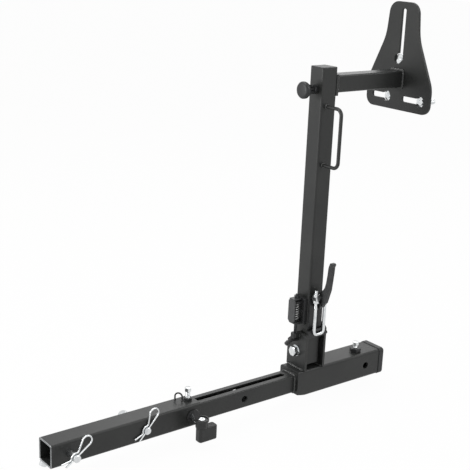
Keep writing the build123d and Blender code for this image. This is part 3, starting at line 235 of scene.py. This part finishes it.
# Injection moulded polypropylene with a spark eroded grain of 0.4 mm, drawn at 0.7 mm.
mouldedPlastic = makeFinish("mouldedPlastic", {
    "ior": 1.45, "dark": "#171819", "light": "#1d1e1f", "driftMm": 40, "edgeMm": 0.8, "grainMm": 0.7,
    "grainDetail": 5.0, "grainRough": 0.6, "relief": 0.35, "reliefMm": 0.12, "roughness": 0.46,
    "glossSpread": 0.05, "pits": 0.15, "pitMm": 0.9})
# Moulded nitrile rubber: matt, with a dusty bloom.
nitrileRubber = makeFinish("nitrileRubber", {
    "dark": "#161617", "light": "#1f1f20", "driftMm": 7, "edgeMm": 0.6, "grainMm": 0.6, "grainDetail": 4.0,
    "relief": 0.25, "reliefMm": 0.1, "roughness": 0.72, "glossSpread": 0.06})
# The pressing in front of the spring, drawn a lighter grey than the coat around it: painted light, for its face that
# turns to the lamps.
litPressing = makeFinish("litPressing", {
    "dark": "#2f3031", "light": "#3a3b3c", "driftMm": 18, "edgeMm": 0.8, "worn": "#6c6e70", "wear": 0.7,
    "grainMm": 1.3, "grainDetail": 3.0, "relief": 0.2, "reliefMm": 0.15, "roughness": 0.4, "glossSpread": 0.05})
print("carrier: finishes made")

# The frame's nodes, by the finish that each of them has.
nodeFinishes = {
    satinPowderCoat: ["shank_tube", "slide_bar", "receiver_tube", "receiver_end_plate", "front_plate", "rear_plate",
                      "keeper", "tether_loop", "pivot_bush", "mast_tube", "grab_handle", "saddle_plate",
                      "arm_tube"],
    shadedMattPowderCoat: ["wheel_plate"],
    brightZinc: ["shank_bolt", "receiver_bolt", "pivot_bolt", "pivot_nut", "pivot_washers", "key_cylinder",
                 "knob_stud", "trunnion", "u_bolt", "u_bolt_nuts", "wheel_studs", "wheel_washers", "wheel_nuts"],
    drawnZinc: ["hitch_pin", "length_pin", "lock_pin"],
    springWire: ["hitch_clip", "length_clip"],
    brightenedSpring: ["plunger_spring"],
    blackOxide: ["shank_nut", "receiver_nut", "catch_screws", "latch_screws", "plunger_rod", "plunger_nut",
                 "toggle_screws", "toggle_pin", "knob_nut", "arm_plug", "fold_pin_clip"],
    paintedForging: ["catch", "fold_pin", "latch_base", "toggle_base", "toggle_lever"],
    paintedCasting: ["lock_body", "lock_collar"],
    mouldedPlastic: ["receiver_cap", "mast_cap", "knob"],
    nitrileRubber: ["lock_washer", "dust_cap"],
    litPressing: ["pull_plate"],
}
for finish, nodeNames in nodeFinishes.items():
    for nodeName in nodeNames:
        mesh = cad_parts[nodeName].data
        mesh.materials.clear()
        mesh.materials.append(finish)
print("carrier: finishes on", sum(len(names) for names in nodeFinishes.values()), "nodes")


# Points of a mesh that are nearer than this become one, and edges that turn by more than this stay sharp.
meshRules = {"mergeMm": 0.004, "sharpDegrees": 38}


# A piece of this scene's own, which rides on a body and may stand in for nodes of the frame.
def addPiece(name, points, faces, finish, slot, body, replaced=()):
    mesh = bpy.data.meshes.new(name)
    mesh.from_pydata(points, [], faces)
    shaped = bmesh.new()
    shaped.from_mesh(mesh)
    bmesh.ops.remove_doubles(shaped, verts=shaped.verts, dist=meshRules["mergeMm"] * mm)
    bmesh.ops.recalc_face_normals(shaped, faces=shaped.faces)
    shaped.to_mesh(mesh)
    shaped.free()
    mesh.shade_smooth()
    mesh.set_sharp_from_angle(angle=radians(meshRules["sharpDegrees"]))
    mesh.materials.append(finish)
    piece = bpy.data.objects.new(name, mesh)
    bpy.context.scene.collection.objects.link(piece)
    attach(piece, body)
    if replaced:
        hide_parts(*replaced)
    return piece


# The faces between rings of points, one ring a row. The first and last ring are capped, or joined to each other.
def ringFaces(rows, columns, ends="capped"):
    faces = []
    for row in range(rows if ends == "joined" else rows - 1):
        first, second = row * columns, (row + 1) % rows * columns
        for column in range(columns):
            after = (column + 1) % columns
            faces.append((first + column, first + after, second + after, second + column))
    if ends == "capped":
        faces.append(tuple(range(columns - 1, -1, -1)))
        faces.append(tuple((rows - 1) * columns + i for i in range(columns)))
    return faces


nearlyAlong = 0.9  # a direction whose share of an axis is above this counts as lying along it


# Two directions that are square to the given one and to each other.
def sideAxes(direction):
    helper = Vector((0, 0, 1)) if abs(direction.z) < nearlyAlong else Vector((0, 1, 0))
    across = direction.cross(helper).normalized()
    return across, direction.cross(across).normalized()


# Pace, start and height of the sines that make the hand's unevenness.
handWaves = ((1.7, 0.3, 1.0), (3.1, 1.9, 0.6), (7.3, 4.0, 0.35))


# A waviness between -1 and 1, the same on every run.
def wobble(value):
    total = sum(height * sin(value * pace + start) for pace, start, height in handWaves)
    return total / sum(height for pace, start, height in handWaves)


# How the beads were laid: crescents a ripple apart, in millimetres, with the torch's small wander. The ripples are
# about 2 mm apart on the real thing and are drawn coarser, to show. The paces are per millimetre of bead.
weldLook = {"ripple": 3.6, "rippleDepth": 0.26, "rippleSharpness": 1.6, "lean": 0.22, "uneven": 0.1,
            "unevenPace": 0.5, "spacing": 0.65, "sides": 10, "wander": 0.4, "wanderPace": 0.33, "swell": 0.16,
            "swellPace": 0.21, "endShare": 0.04}
# The rings that paint the highlight at the tube's mouth: a smooth round lip, with no ripple.
highlightRingLook = dict(weldLook, rippleDepth=0.0, spacing=1.2, sides=12, wander=0.0, swell=0.06)


# Points at an even spacing along the straight legs between the corners.
def resample(corners, spacing, closed, fewest=6):
    route = list(corners) + ([corners[0]] if closed else [])
    lengths = [(b - a).length for a, b in zip(route, route[1:])]
    total = sum(lengths)
    count = max(fewest, ceil(total / spacing))
    points, passed, leg = [], 0.0, 0
    for step in range(count + (0 if closed else 1)):
        wanted = total * step / count
        while leg < len(lengths) - 1 and passed + lengths[leg] < wanted:
            passed += lengths[leg]
            leg += 1
        share = min(1.0, (wanted - passed) / lengths[leg])
        points.append(route[leg].lerp(route[leg + 1], share))
    return points


# A bead is a rippled tube along the corner between two pieces, half buried in both. Its crescents lean the way the
# torch moved, and an open bead runs out thin and round at both ends.
def weldBead(name, corners, radius, body, closed=False, seed=0.0, look=weldLook, finish=coatedWeld):
    points = resample([Vector(c) * mm for c in corners], look["spacing"] * mm, closed)
    count, sides, verts = len(points), look["sides"], []
    for i, point in enumerate(points):
        ahead = points[(i + 1) % count] if closed or i < count - 1 else point
        behind = points[i - 1] if closed or i > 0 else point
        across, out = sideAxes((ahead - behind).normalized())
        along = i * look["spacing"]
        size = radius * mm * (1 + look["swell"] * wobble(along * look["swellPace"] + seed))
        if not closed:
            fromEnd = min(1.0, min(i, count - 1 - i) * look["spacing"] / radius)
            size *= sqrt(max(look["endShare"], fromEnd * (2 - fromEnd)))
        drift = across * look["wander"] * mm * wobble(along * look["wanderPace"] + seed * 2)
        for side in range(sides):
            angle = 2 * pi * side / sides
            phase = along / look["ripple"] + look["lean"] * cos(angle)
            phase += look["uneven"] * wobble(along * look["unevenPace"] + seed)
            crest = 1 - abs(2 * (phase - floor(phase)) - 1) ** look["rippleSharpness"]
            reach = size * (1 - look["rippleDepth"] / 2 + look["rippleDepth"] * crest)
            verts.append(point + drift + reach * (cos(angle) * across + sin(angle) * out))
    faces = ringFaces(count, sides, "joined" if closed else "capped")
    addPiece(name, verts, faces, finish, "powder_steel", body)


# The outline of a square tube with round corners, at one place along the carrier.
def squareRing(x, side, corner, centreZ, steps=5):
    half, points = side / 2, []
    for quarter in range(4):
        for step in range(steps + 1):
            angle = pi / 2 * (quarter + step / steps)
            cy = (half - corner) * (1 if quarter in (0, 3) else -1)
            cz = (half - corner) * (1 if quarter in (0, 1) else -1)
            points.append((x, cy + corner * cos(angle), centreZ + cz + corner * sin(angle)))
    return points


def roundRing(centre, normal, radius, steps=24):
    across, out = sideAxes(Vector(normal).normalized())
    return [Vector(centre) + radius * (cos(2 * pi * i / steps) * across + sin(2 * pi * i / steps) * out)
            for i in range(steps)]


# Every bead of the carrier, in millimetres: square beads round a tube, straight ones along an edge, round ones about
# a rod, and short tacks round a nut, whose start and length are in degrees. "size" is the bead's radius.
weldPlaces = {
    "square": [
        {"name": "bar_receiver", "x": 583.6, "side": 42.2, "corner": 4.5, "z": 0, "size": 3.0, "body": "bar"},
        {"name": "arm_plate", "x": 857.2, "side": 38.4, "corner": 4.0, "z": 685, "size": 3.3, "body": "mast"},
        {"name": "arm_saddle", "x": 658.6, "side": 38.2, "corner": 4.2, "z": 685, "size": 2.2, "body": "mast"},
    ],
    "straight": [
        {"name": "front_cheek", "ends": ((600.6, -28, 32.4), (600.6, 28, 32.4)), "size": 3.1, "body": "bar"},
        {"name": "rear_cheek", "ends": ((663.4, -28, 32.4), (663.4, 28, 32.4)), "size": 3.1, "body": "bar"},
        {"name": "front_inner_cheek", "ends": ((608.6, -29, 32.4), (608.6, 29, 32.4)), "size": 1.9, "body": "bar"},
        {"name": "rear_inner_cheek", "ends": ((655.4, -29, 32.4), (655.4, 29, 32.4)), "size": 1.9, "body": "bar"},
        {"name": "saddle_near", "ends": ((653.2, -20.9, 661.5), (653.2, -20.9, 704.5)), "size": 1.7, "body": "mast"},
        {"name": "saddle_far", "ends": ((653.2, 20.9, 661.5), (653.2, 20.9, 704.5)), "size": 1.7, "body": "mast"},
        {"name": "keeper_near", "ends": ((601.4, -8.2, 109), (601.4, -8.2, 117)), "size": 1.5, "body": "bar"},
        {"name": "keeper_far", "ends": ((601.4, 8.2, 109), (601.4, 8.2, 112.5)), "size": 1.5, "body": "bar"},
        {"name": "keeper_under", "ends": ((601.2, -6.5, 108.0), (601.2, 6.5, 108.0)), "size": 1.6, "body": "bar"},
    ],
    "round": [
        {"name": "handle_top", "centre": (627, -21.4, 638.5), "axis": (0, 1, 0), "reach": 4.3, "size": 2.1,
         "body": "mast"},
        {"name": "handle_bottom", "centre": (627, -21.4, 510), "axis": (0, 1, 0), "reach": 4.3, "size": 2.1,
         "body": "mast"},
        {"name": "loop_a", "centre": (277, 17.5, 25.6), "axis": (0, 0, 1), "reach": 1.95, "size": 1.1, "body": "bar"},
        {"name": "loop_b", "centre": (287, 5, 25.6), "axis": (0, 0, 1), "reach": 1.95, "size": 1.1, "body": "bar"},
    ],
    "nutTacks": [
        {"name": "shank_nut", "centre": (299.0, 1.5, 25.7), "reach": 9.3},
        {"name": "receiver_nut", "centre": (785.0, -8.0, 32.1), "reach": 13.2},
    ],
    "tackCount": 3, "tackStart": 40, "tackLength": 27, "tackSteps": 4, "tackSize": 1.5,
}
# The rings that paint the highlight on the shank's mouth, in millimetres.
mouthHighlightRing = {"x": -39.9, "outside": 48.9, "inside": 44.6, "corner": 4.2, "size": 0.9}


def weldCarrier():
    seed = 1
    for bead in weldPlaces["square"]:
        route = squareRing(bead["x"], bead["side"], bead["corner"], bead["z"])
        weldBead(f"weld_{bead['name']}", route, bead["size"], bead["body"], closed=True, seed=seed)
        seed += 1
    for bead in weldPlaces["straight"]:
        weldBead(f"weld_{bead['name']}", bead["ends"], bead["size"], bead["body"], seed=seed)
        seed += 1
    for bead in weldPlaces["round"]:
        route = roundRing(bead["centre"], bead["axis"], bead["reach"])
        weldBead(f"weld_{bead['name']}", route, bead["size"], bead["body"], closed=True, seed=seed)
        seed += 1
    for nut in weldPlaces["nutTacks"]:
        x, y, z = nut["centre"]
        steps = weldPlaces["tackSteps"]
        for tack in range(weldPlaces["tackCount"]):
            start = weldPlaces["tackStart"] + 360 * tack / weldPlaces["tackCount"]
            angles = [radians(start + weldPlaces["tackLength"] * step / steps) for step in range(steps + 1)]
            arc = [(x + nut["reach"] * cos(a), y + nut["reach"] * sin(a), z) for a in angles]
            weldBead(f"weld_{nut['name']}_{tack}", arc, weldPlaces["tackSize"], "bar", seed=seed)
            seed += 1


# Two light rings laid round the shank's mouth, a painted highlight along its rim.
def paintMouthHighlight():
    for label in ("outside", "inside"):
        route = squareRing(mouthHighlightRing["x"], mouthHighlightRing[label], mouthHighlightRing["corner"], 0)
        weldBead(f"shank_mouth_highlight_{label}", route, mouthHighlightRing["size"], "bar", closed=True, look=highlightRingLook,
                 finish=mouthRimHighlight)


# Heads and nuts: how much of each flat face is left inside the cone that the corners are turned down to.
hexLook = {"columns": 72, "faceShare": 0.97, "coneDegrees": 30}


# A hexagon whose corners are turned down to a cone, as on a cold formed head or nut. Its rings run from the bore, or
# from the middle of one face, over the corners to the other face. "turned" is its angle about the axis, in degrees.
def hexMesh(start, direction, flats, height, turned=0, bore=0.0, footCut=True):
    axis = Vector(direction).normalized()
    reference = Vector((0, 1, 0)) if abs(axis.y) < nearlyAlong else Vector((1, 0, 0))
    across = (reference - axis * reference.dot(axis)).normalized()
    out = axis.cross(across)
    columns, apothem = hexLook["columns"], flats / 2
    faceEdge, inner = apothem * hexLook["faceShare"], bore / 2
    slope = tan(radians(hexLook["coneDegrees"]))
    points = []

    levels = [("top", 0), ("top", 1), ("topEdge", 0.5), ("topEdge", 1), ("footEdge", 1), ("footEdge", 0.5),
              ("foot", 1), ("foot", 0)]
    for kind, share in levels:
        for column in range(columns):
            angle = 2 * pi * column / columns
            rim = apothem / cos((angle - radians(turned) + pi / 6) % (pi / 3) - pi / 6)
            if kind in ("top", "foot"):
                radius = faceEdge if share else inner
                level = height if kind == "top" else 0.0
            else:
                radius = faceEdge + (rim - faceEdge) * share
                drop = (radius - faceEdge) * slope
                if kind == "topEdge":
                    level = height - drop
                else:
                    level = drop if footCut else 0.0
            spot = Vector(start) + axis * level + radius * (cos(angle) * across + sin(angle) * out)
            points.append(spot * mm)
    return points, ringFaces(len(levels), columns, "joined" if bore else "capped")


# A rod of stated rings: (distance along it, radius).
def rodMesh(start, direction, rings, columns=32):
    axis = Vector(direction).normalized()
    across, out = sideAxes(axis)
    points = []
    for along, radius in rings:
        for column in range(columns):
            angle = 2 * pi * column / columns
            points.append((Vector(start) + axis * along + radius * (cos(angle) * across + sin(angle) * out)) * mm)
    return points, ringFaces(len(rings), columns)


# How fine the threads are drawn, and how steep their flanks are, which leaves a flat on the crest.
threadLook = {"columns": 36, "rowsPerPitch": 6, "flank": 1.25}


# A screw thread: its ridge climbs one pitch a turn, and its far end may be turned down to a cone.
def threadMesh(start, direction, thread, length, endCut=0.0):
    axis = Vector(direction).normalized()
    across, out = sideAxes(axis)
    columns, depth, pitch = threadLook["columns"], thread["depth"], thread["pitch"]
    outside = thread["diameter"] / 2
    rows = ceil(length / (pitch / threadLook["rowsPerPitch"]))
    points = []
    for row in range(rows + 1):
        along = length * row / rows
        for column in range(columns):
            angle = 2 * pi * column / columns
            phase = along / pitch - column / columns
            ridge = 1 - abs(2 * (phase - floor(phase)) - 1)
            radius = outside - depth + depth * min(1.0, ridge * threadLook["flank"])
            radius = min(radius, outside - max(0.0, endCut - (length - along)))
            points.append((Vector(start) + axis * along + radius * (cos(angle) * across + sin(angle) * out)) * mm)
    return points, ringFaces(rows + 1, columns)


def joinMeshes(*meshes):
    points, faces = [], []
    for morePoints, moreFaces in meshes:
        offset = len(points)
        points += morePoints
        faces += [tuple(i + offset for i in face) for face in moreFaces]
    return points, faces


# Screws and nuts in millimetres. "flats" is the size of the spanner, and a set screw's thread stops a gap short of
# its head.
setScrews = [
    {"name": "shank", "spot": (299.0, 1.5), "tip": 17.4, "head": 46.4, "gap": 0.2, "headFlats": 13.0,
     "headHeight": 8.0,
     "nutFoot": 25.4, "nutFlats": 17.0, "nutHeight": 6.0, "nutBore": 10.3,
     "thread": {"diameter": 10.0, "pitch": 1.5, "depth": 0.6}},
    {"name": "receiver", "spot": (785.0, -8.0), "tip": 24.75, "head": 48.75, "gap": 0.2, "headFlats": 13.0,
     "headHeight": 8.0,
     "nutFoot": 31.75, "nutFlats": 24.0, "nutHeight": 10.0, "nutBore": 10.3,
     "thread": {"diameter": 10.0, "pitch": 1.5, "depth": 0.6}},
]
pivot = {"z": 73.0, "head": 599.2, "flats": 21.0, "turned": 30, "headHeight": 11.0, "shaft": 14.0,
         "threadFrom": 668.0, "end": 680.8, "endCut": 1.6, "nutFrom": 664.8, "nutHeight": 12.0, "nutBore": 14.1,
         "thread": {"diameter": 14.0, "pitch": 2.0, "depth": 0.8}}
wheelStuds = {"spots": ((-1, 724), (22.5, 642.445), (-76.5, 639.945)), "from": 858.2, "length": 45.8,
              "endCut": 1.4, "nutFrom": 867.0, "nutFlats": 19.0, "nutHeight": 10.0, "nutBore": 12.1,
              "thread": {"diameter": 12.0, "pitch": 1.75, "depth": 0.7}}
loopRods = {"xs": (619.0, 647.0), "y": -36.5, "nutFeet": (196.5, 211.5), "nutFlats": 13.0, "nutHeight": 6.0,
            "nutBore": 7.6, "from": 182.0, "length": 44.0,
            "thread": {"diameter": 7.85, "pitch": 1.25, "depth": 0.16}}
plungerNut = {"foot": (594, 0, 203), "flats": 11.0, "height": 6.0, "bore": 6.5}


def turnFasteners():
    up, along = (0, 0, 1), (1, 0, 0)
    for screw in setScrews:
        name, spot = screw["name"], screw["spot"]
        length = screw["head"] - screw["tip"] - screw["gap"]
        thread = threadMesh((*spot, screw["tip"]), up, screw["thread"], length)
        head = hexMesh((*spot, screw["head"]), up, screw["headFlats"], screw["headHeight"], footCut=False)
        addPiece(f"{name}_bolt_turned", *joinMeshes(thread, head), brightZinc, "zinc_steel", f"{name}_bolt",
                 replaced=(f"{name}_bolt",))
        nut = hexMesh((*spot, screw["nutFoot"]), up, screw["nutFlats"], screw["nutHeight"],
                      bore=screw["nutBore"], footCut=False)
        addPiece(f"{name}_nut_turned", *nut, blackOxide, "black_steel", "bar", replaced=(f"{name}_nut",))

    z, flats, radius = pivot["z"], pivot["flats"], pivot["shaft"] / 2
    head = hexMesh((pivot["head"], 0, z), (-1, 0, 0), flats, pivot["headHeight"], pivot["turned"], footCut=False)
    shaft = rodMesh((pivot["head"], 0, z), along, [(0, radius), (pivot["threadFrom"] - pivot["head"], radius)])
    tail = threadMesh((pivot["threadFrom"], 0, z), along, pivot["thread"], pivot["end"] - pivot["threadFrom"],
                      endCut=pivot["endCut"])
    addPiece("pivot_bolt_turned", *joinMeshes(head, shaft, tail), brightZinc, "zinc_steel", "bar",
             replaced=("pivot_bolt",))
    nut = hexMesh((pivot["nutFrom"], 0, z), along, flats, pivot["nutHeight"], pivot["turned"],
                  bore=pivot["nutBore"])
    addPiece("pivot_nut_turned", *nut, brightZinc, "zinc_steel", "bar", replaced=("pivot_nut",))

    look = wheelStuds
    studs = [threadMesh((look["from"], y, z), along, look["thread"], look["length"], endCut=look["endCut"])
             for y, z in look["spots"]]
    addPiece("wheel_studs_turned", *joinMeshes(*studs), brightZinc, "zinc_steel", "mast", replaced=("wheel_studs",))
    nuts = [hexMesh((look["nutFrom"], y, z), along, look["nutFlats"], look["nutHeight"], bore=look["nutBore"])
            for y, z in look["spots"]]
    addPiece("wheel_nuts_turned", *joinMeshes(*nuts), brightZinc, "zinc_steel", "mast", replaced=("wheel_nuts",))

    look = loopRods
    nuts = [hexMesh((x, look["y"], z), up, look["nutFlats"], look["nutHeight"], bore=look["nutBore"])
            for x in look["xs"] for z in look["nutFeet"]]
    addPiece("u_bolt_nuts_turned", *joinMeshes(*nuts), brightZinc, "zinc_steel", "latch_loop",
             replaced=("u_bolt_nuts",))
    ends = [threadMesh((x, look["y"], look["from"]), up, look["thread"], look["length"]) for x in look["xs"]]
    addPiece("u_bolt_threads", *joinMeshes(*ends), brightZinc, "zinc_steel", "latch_loop")
    look = plungerNut
    nut = hexMesh(look["foot"], up, look["flats"], look["height"], bore=look["bore"])
    addPiece("plunger_nut_turned", *nut, blackOxide, "black_steel", "plunger", replaced=("plunger_nut",))


# The knob, in millimetres: rings of the way along the stud from its face, the radius, and the flutes' depth as a
# share of it. They make a domed head, then a cone with flutes for the fingers.
knobShape = {
    "face": (570.2, 0, 674), "flutes": 12, "fluteSharpness": 0.8, "columns": 144,
    "rings": [(0.0, 0.0, 0.0), (0.0, 11.0, 0.0), (0.5, 14.6, 0.0), (1.7, 17.0, 0.0), (3.6, 18.3, 0.0),
              (6.0, 18.5, 0.0), (9.6, 18.3, 0.0), (11.4, 17.3, 0.0), (12.4, 15.6, 0.02), (12.8, 14.6, 0.16),
              (18.0, 12.6, 0.22), (24.0, 10.6, 0.24), (28.4, 9.6, 0.22), (29.4, 9.0, 0.05), (30.4, 8.2, 0.0),
              (30.5, 4.2, 0.0)],
}


def mouldKnob():
    look, axis = knobShape, Vector((1, 0, 0))
    across, out = sideAxes(axis)
    points = []
    for along, radius, flute in look["rings"]:
        for column in range(look["columns"]):
            angle = 2 * pi * column / look["columns"]
            groove = max(0.0, cos(angle * look["flutes"])) ** look["fluteSharpness"]
            reach = radius * (1 - flute * groove)
            spot = Vector(look["face"]) + axis * along + reach * (cos(angle) * across + sin(angle) * out)
            points.append(spot * mm)
    faces = ringFaces(len(look["rings"]), look["columns"])
    addPiece("knob_moulded", points, faces, mouldedPlastic, "black_plastic", "knob", replaced=("knob",))


# The plunger's spring, in millimetres. Its coils close up towards the lug above them, by a little more than the
# plunger lifts.
springShape = {"centre": (594, 0), "bottom": 149.22, "top": 189.08, "coilRadius": 4.8, "wire": 1.6, "turns": 7,
               "perTurn": 28, "sides": 10, "lift": 24.6}


def windSpring():
    look = springShape
    steps, wire = look["turns"] * look["perTurn"], look["wire"] / 2
    rise = look["top"] - look["bottom"]
    climb = rise / (2 * pi * look["turns"] * look["coilRadius"])
    points = []
    for step in range(steps + 1):
        turn = 2 * pi * step / look["perTurn"]
        outward = Vector((cos(turn), sin(turn), 0))
        along = Vector((-sin(turn), cos(turn), climb)).normalized()
        over = along.cross(outward)
        middle = Vector((*look["centre"], look["bottom"] + rise * step / steps)) + look["coilRadius"] * outward
        for side in range(look["sides"]):
            angle = 2 * pi * side / look["sides"]
            points.append((middle + wire * (cos(angle) * outward + sin(angle) * over)) * mm)
    faces = ringFaces(steps + 1, look["sides"])
    spring = addPiece("plunger_spring_wound", points, faces, brightenedSpring, "spring_steel", "mast",
                      replaced=("plunger_spring",))
    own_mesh(spring)


# A pale room with four softboxes and a narrow strip that draws the tubes' near corners. Places and sizes are in
# metres, power is in watts, and the floor's drop below the object is in millimetres.
studio = {
    "floorColour": "#e2e2e0", "floorReach": 14.0, "floorDrop": 0.5, "floorRoughness": 0.9, "floorShow": 0.97,
    "worldForObject": 0.35,
    "lamps": [
        {"name": "topSoftbox", "place": (0.1, 0.5, 2.5), "aim": (0.45, 0, 0.2), "size": (2.0, 1.6), "power": 34},
        {"name": "backSoftbox", "place": (2.4, 1.7, 1.9), "aim": (0.55, 0, 0.1), "size": (2.4, 0.9), "power": 13},
        {"name": "leftSoftbox", "place": (-1.5, 0.7, 0.7), "aim": (0.5, 0, 0.2), "size": (1.0, 0.9), "power": 26},
        {"name": "edgeStrip", "place": (1.5, -1.0, 1.5), "aim": (0.5, 0, 0.2), "size": (0.9, 0.25), "power": 7},
        {"name": "nearFill", "place": (-0.3, -2.3, 1.0), "aim": (0.5, 0, 0.3), "size": (1.4, 1.4), "power": 6},
    ],
}


# 1 for what the camera, a reflection or a view through glass sees, 0 for light that only falls on something.
def seenShare(tree):
    path = addNode(tree, "ShaderNodeLightPath")
    first = addNode(tree, "ShaderNodeMath", {0: path.outputs["Is Camera Ray"], 1: path.outputs["Is Glossy Ray"]},
                    operation="MAXIMUM")
    return addNode(tree, "ShaderNodeMath", {0: first.outputs["Value"], 1: path.outputs["Is Transmission Ray"]},
                   operation="MAXIMUM").outputs["Value"]


def buildStudio():
    scene = bpy.context.scene
    scene.view_settings.view_transform = "Standard"
    white = (1.0, 1.0, 1.0, 1.0)
    world = bpy.data.worlds.new("paleRoom")
    scene.world = world
    world.use_nodes = True
    tree = world.node_tree
    background = tree.nodes["Background"]
    background.inputs["Color"].default_value = white
    strength = addNode(tree, "ShaderNodeMapRange", {
        "Value": seenShare(tree), "To Min": studio["worldForObject"], "To Max": 1.0})
    tree.links.new(strength.outputs["Result"], background.inputs["Strength"])
    floorHeight, reach = cadBox[0][2] - studio["floorDrop"] * mm, studio["floorReach"]
    floorMesh = bpy.data.meshes.new("paleFloor")
    floorMesh.from_pydata([(-reach, -reach, floorHeight), (reach, -reach, floorHeight), (reach, reach, floorHeight),
                           (-reach, reach, floorHeight)], [], [(0, 1, 2, 3)])
    paleFloor = bpy.data.materials.new("paleFloor")
    paleFloor.use_nodes = True
    tree = paleFloor.node_tree
    shader = tree.nodes["Principled BSDF"]
    shader.inputs["Base Color"].default_value = linearColour(studio["floorColour"])
    shader.inputs["Roughness"].default_value = studio["floorRoughness"]
    glow = addNode(tree, "ShaderNodeEmission", {"Color": white, "Strength": 1.0})
    share = addNode(tree, "ShaderNodeMath", {0: seenShare(tree), 1: studio["floorShow"]}, operation="MULTIPLY")
    mixed = addNode(tree, "ShaderNodeMixShader", {
        0: share.outputs["Value"], 1: shader.outputs["BSDF"], 2: glow.outputs["Emission"]})
    tree.links.new(mixed.outputs["Shader"], tree.nodes["Material Output"].inputs["Surface"])
    floorMesh.materials.append(paleFloor)
    floorPiece = bpy.data.objects.new("paleFloor", floorMesh)
    scene.collection.objects.link(floorPiece)
    for lamp in studio["lamps"]:
        data = bpy.data.lights.new(lamp["name"], "AREA")
        data.shape = "RECTANGLE"
        data.size, data.size_y = lamp["size"]
        data.energy = lamp["power"]
        light = bpy.data.objects.new(lamp["name"], data)
        place = Vector(lamp["place"])
        light.matrix_world = aimedMatrix(place, (Vector(lamp["aim"]) - place).normalized())
        scene.collection.objects.link(light)


placeCamera()
weldCarrier()
paintMouthHighlight()
print("carrier: welds laid")
mouldKnob()
print("carrier: knob moulded")
windSpring()
print("carrier: spring wound")
turnFasteners()
print("carrier: bolts and nuts turned")
buildStudio()
print("carrier: studio lit")
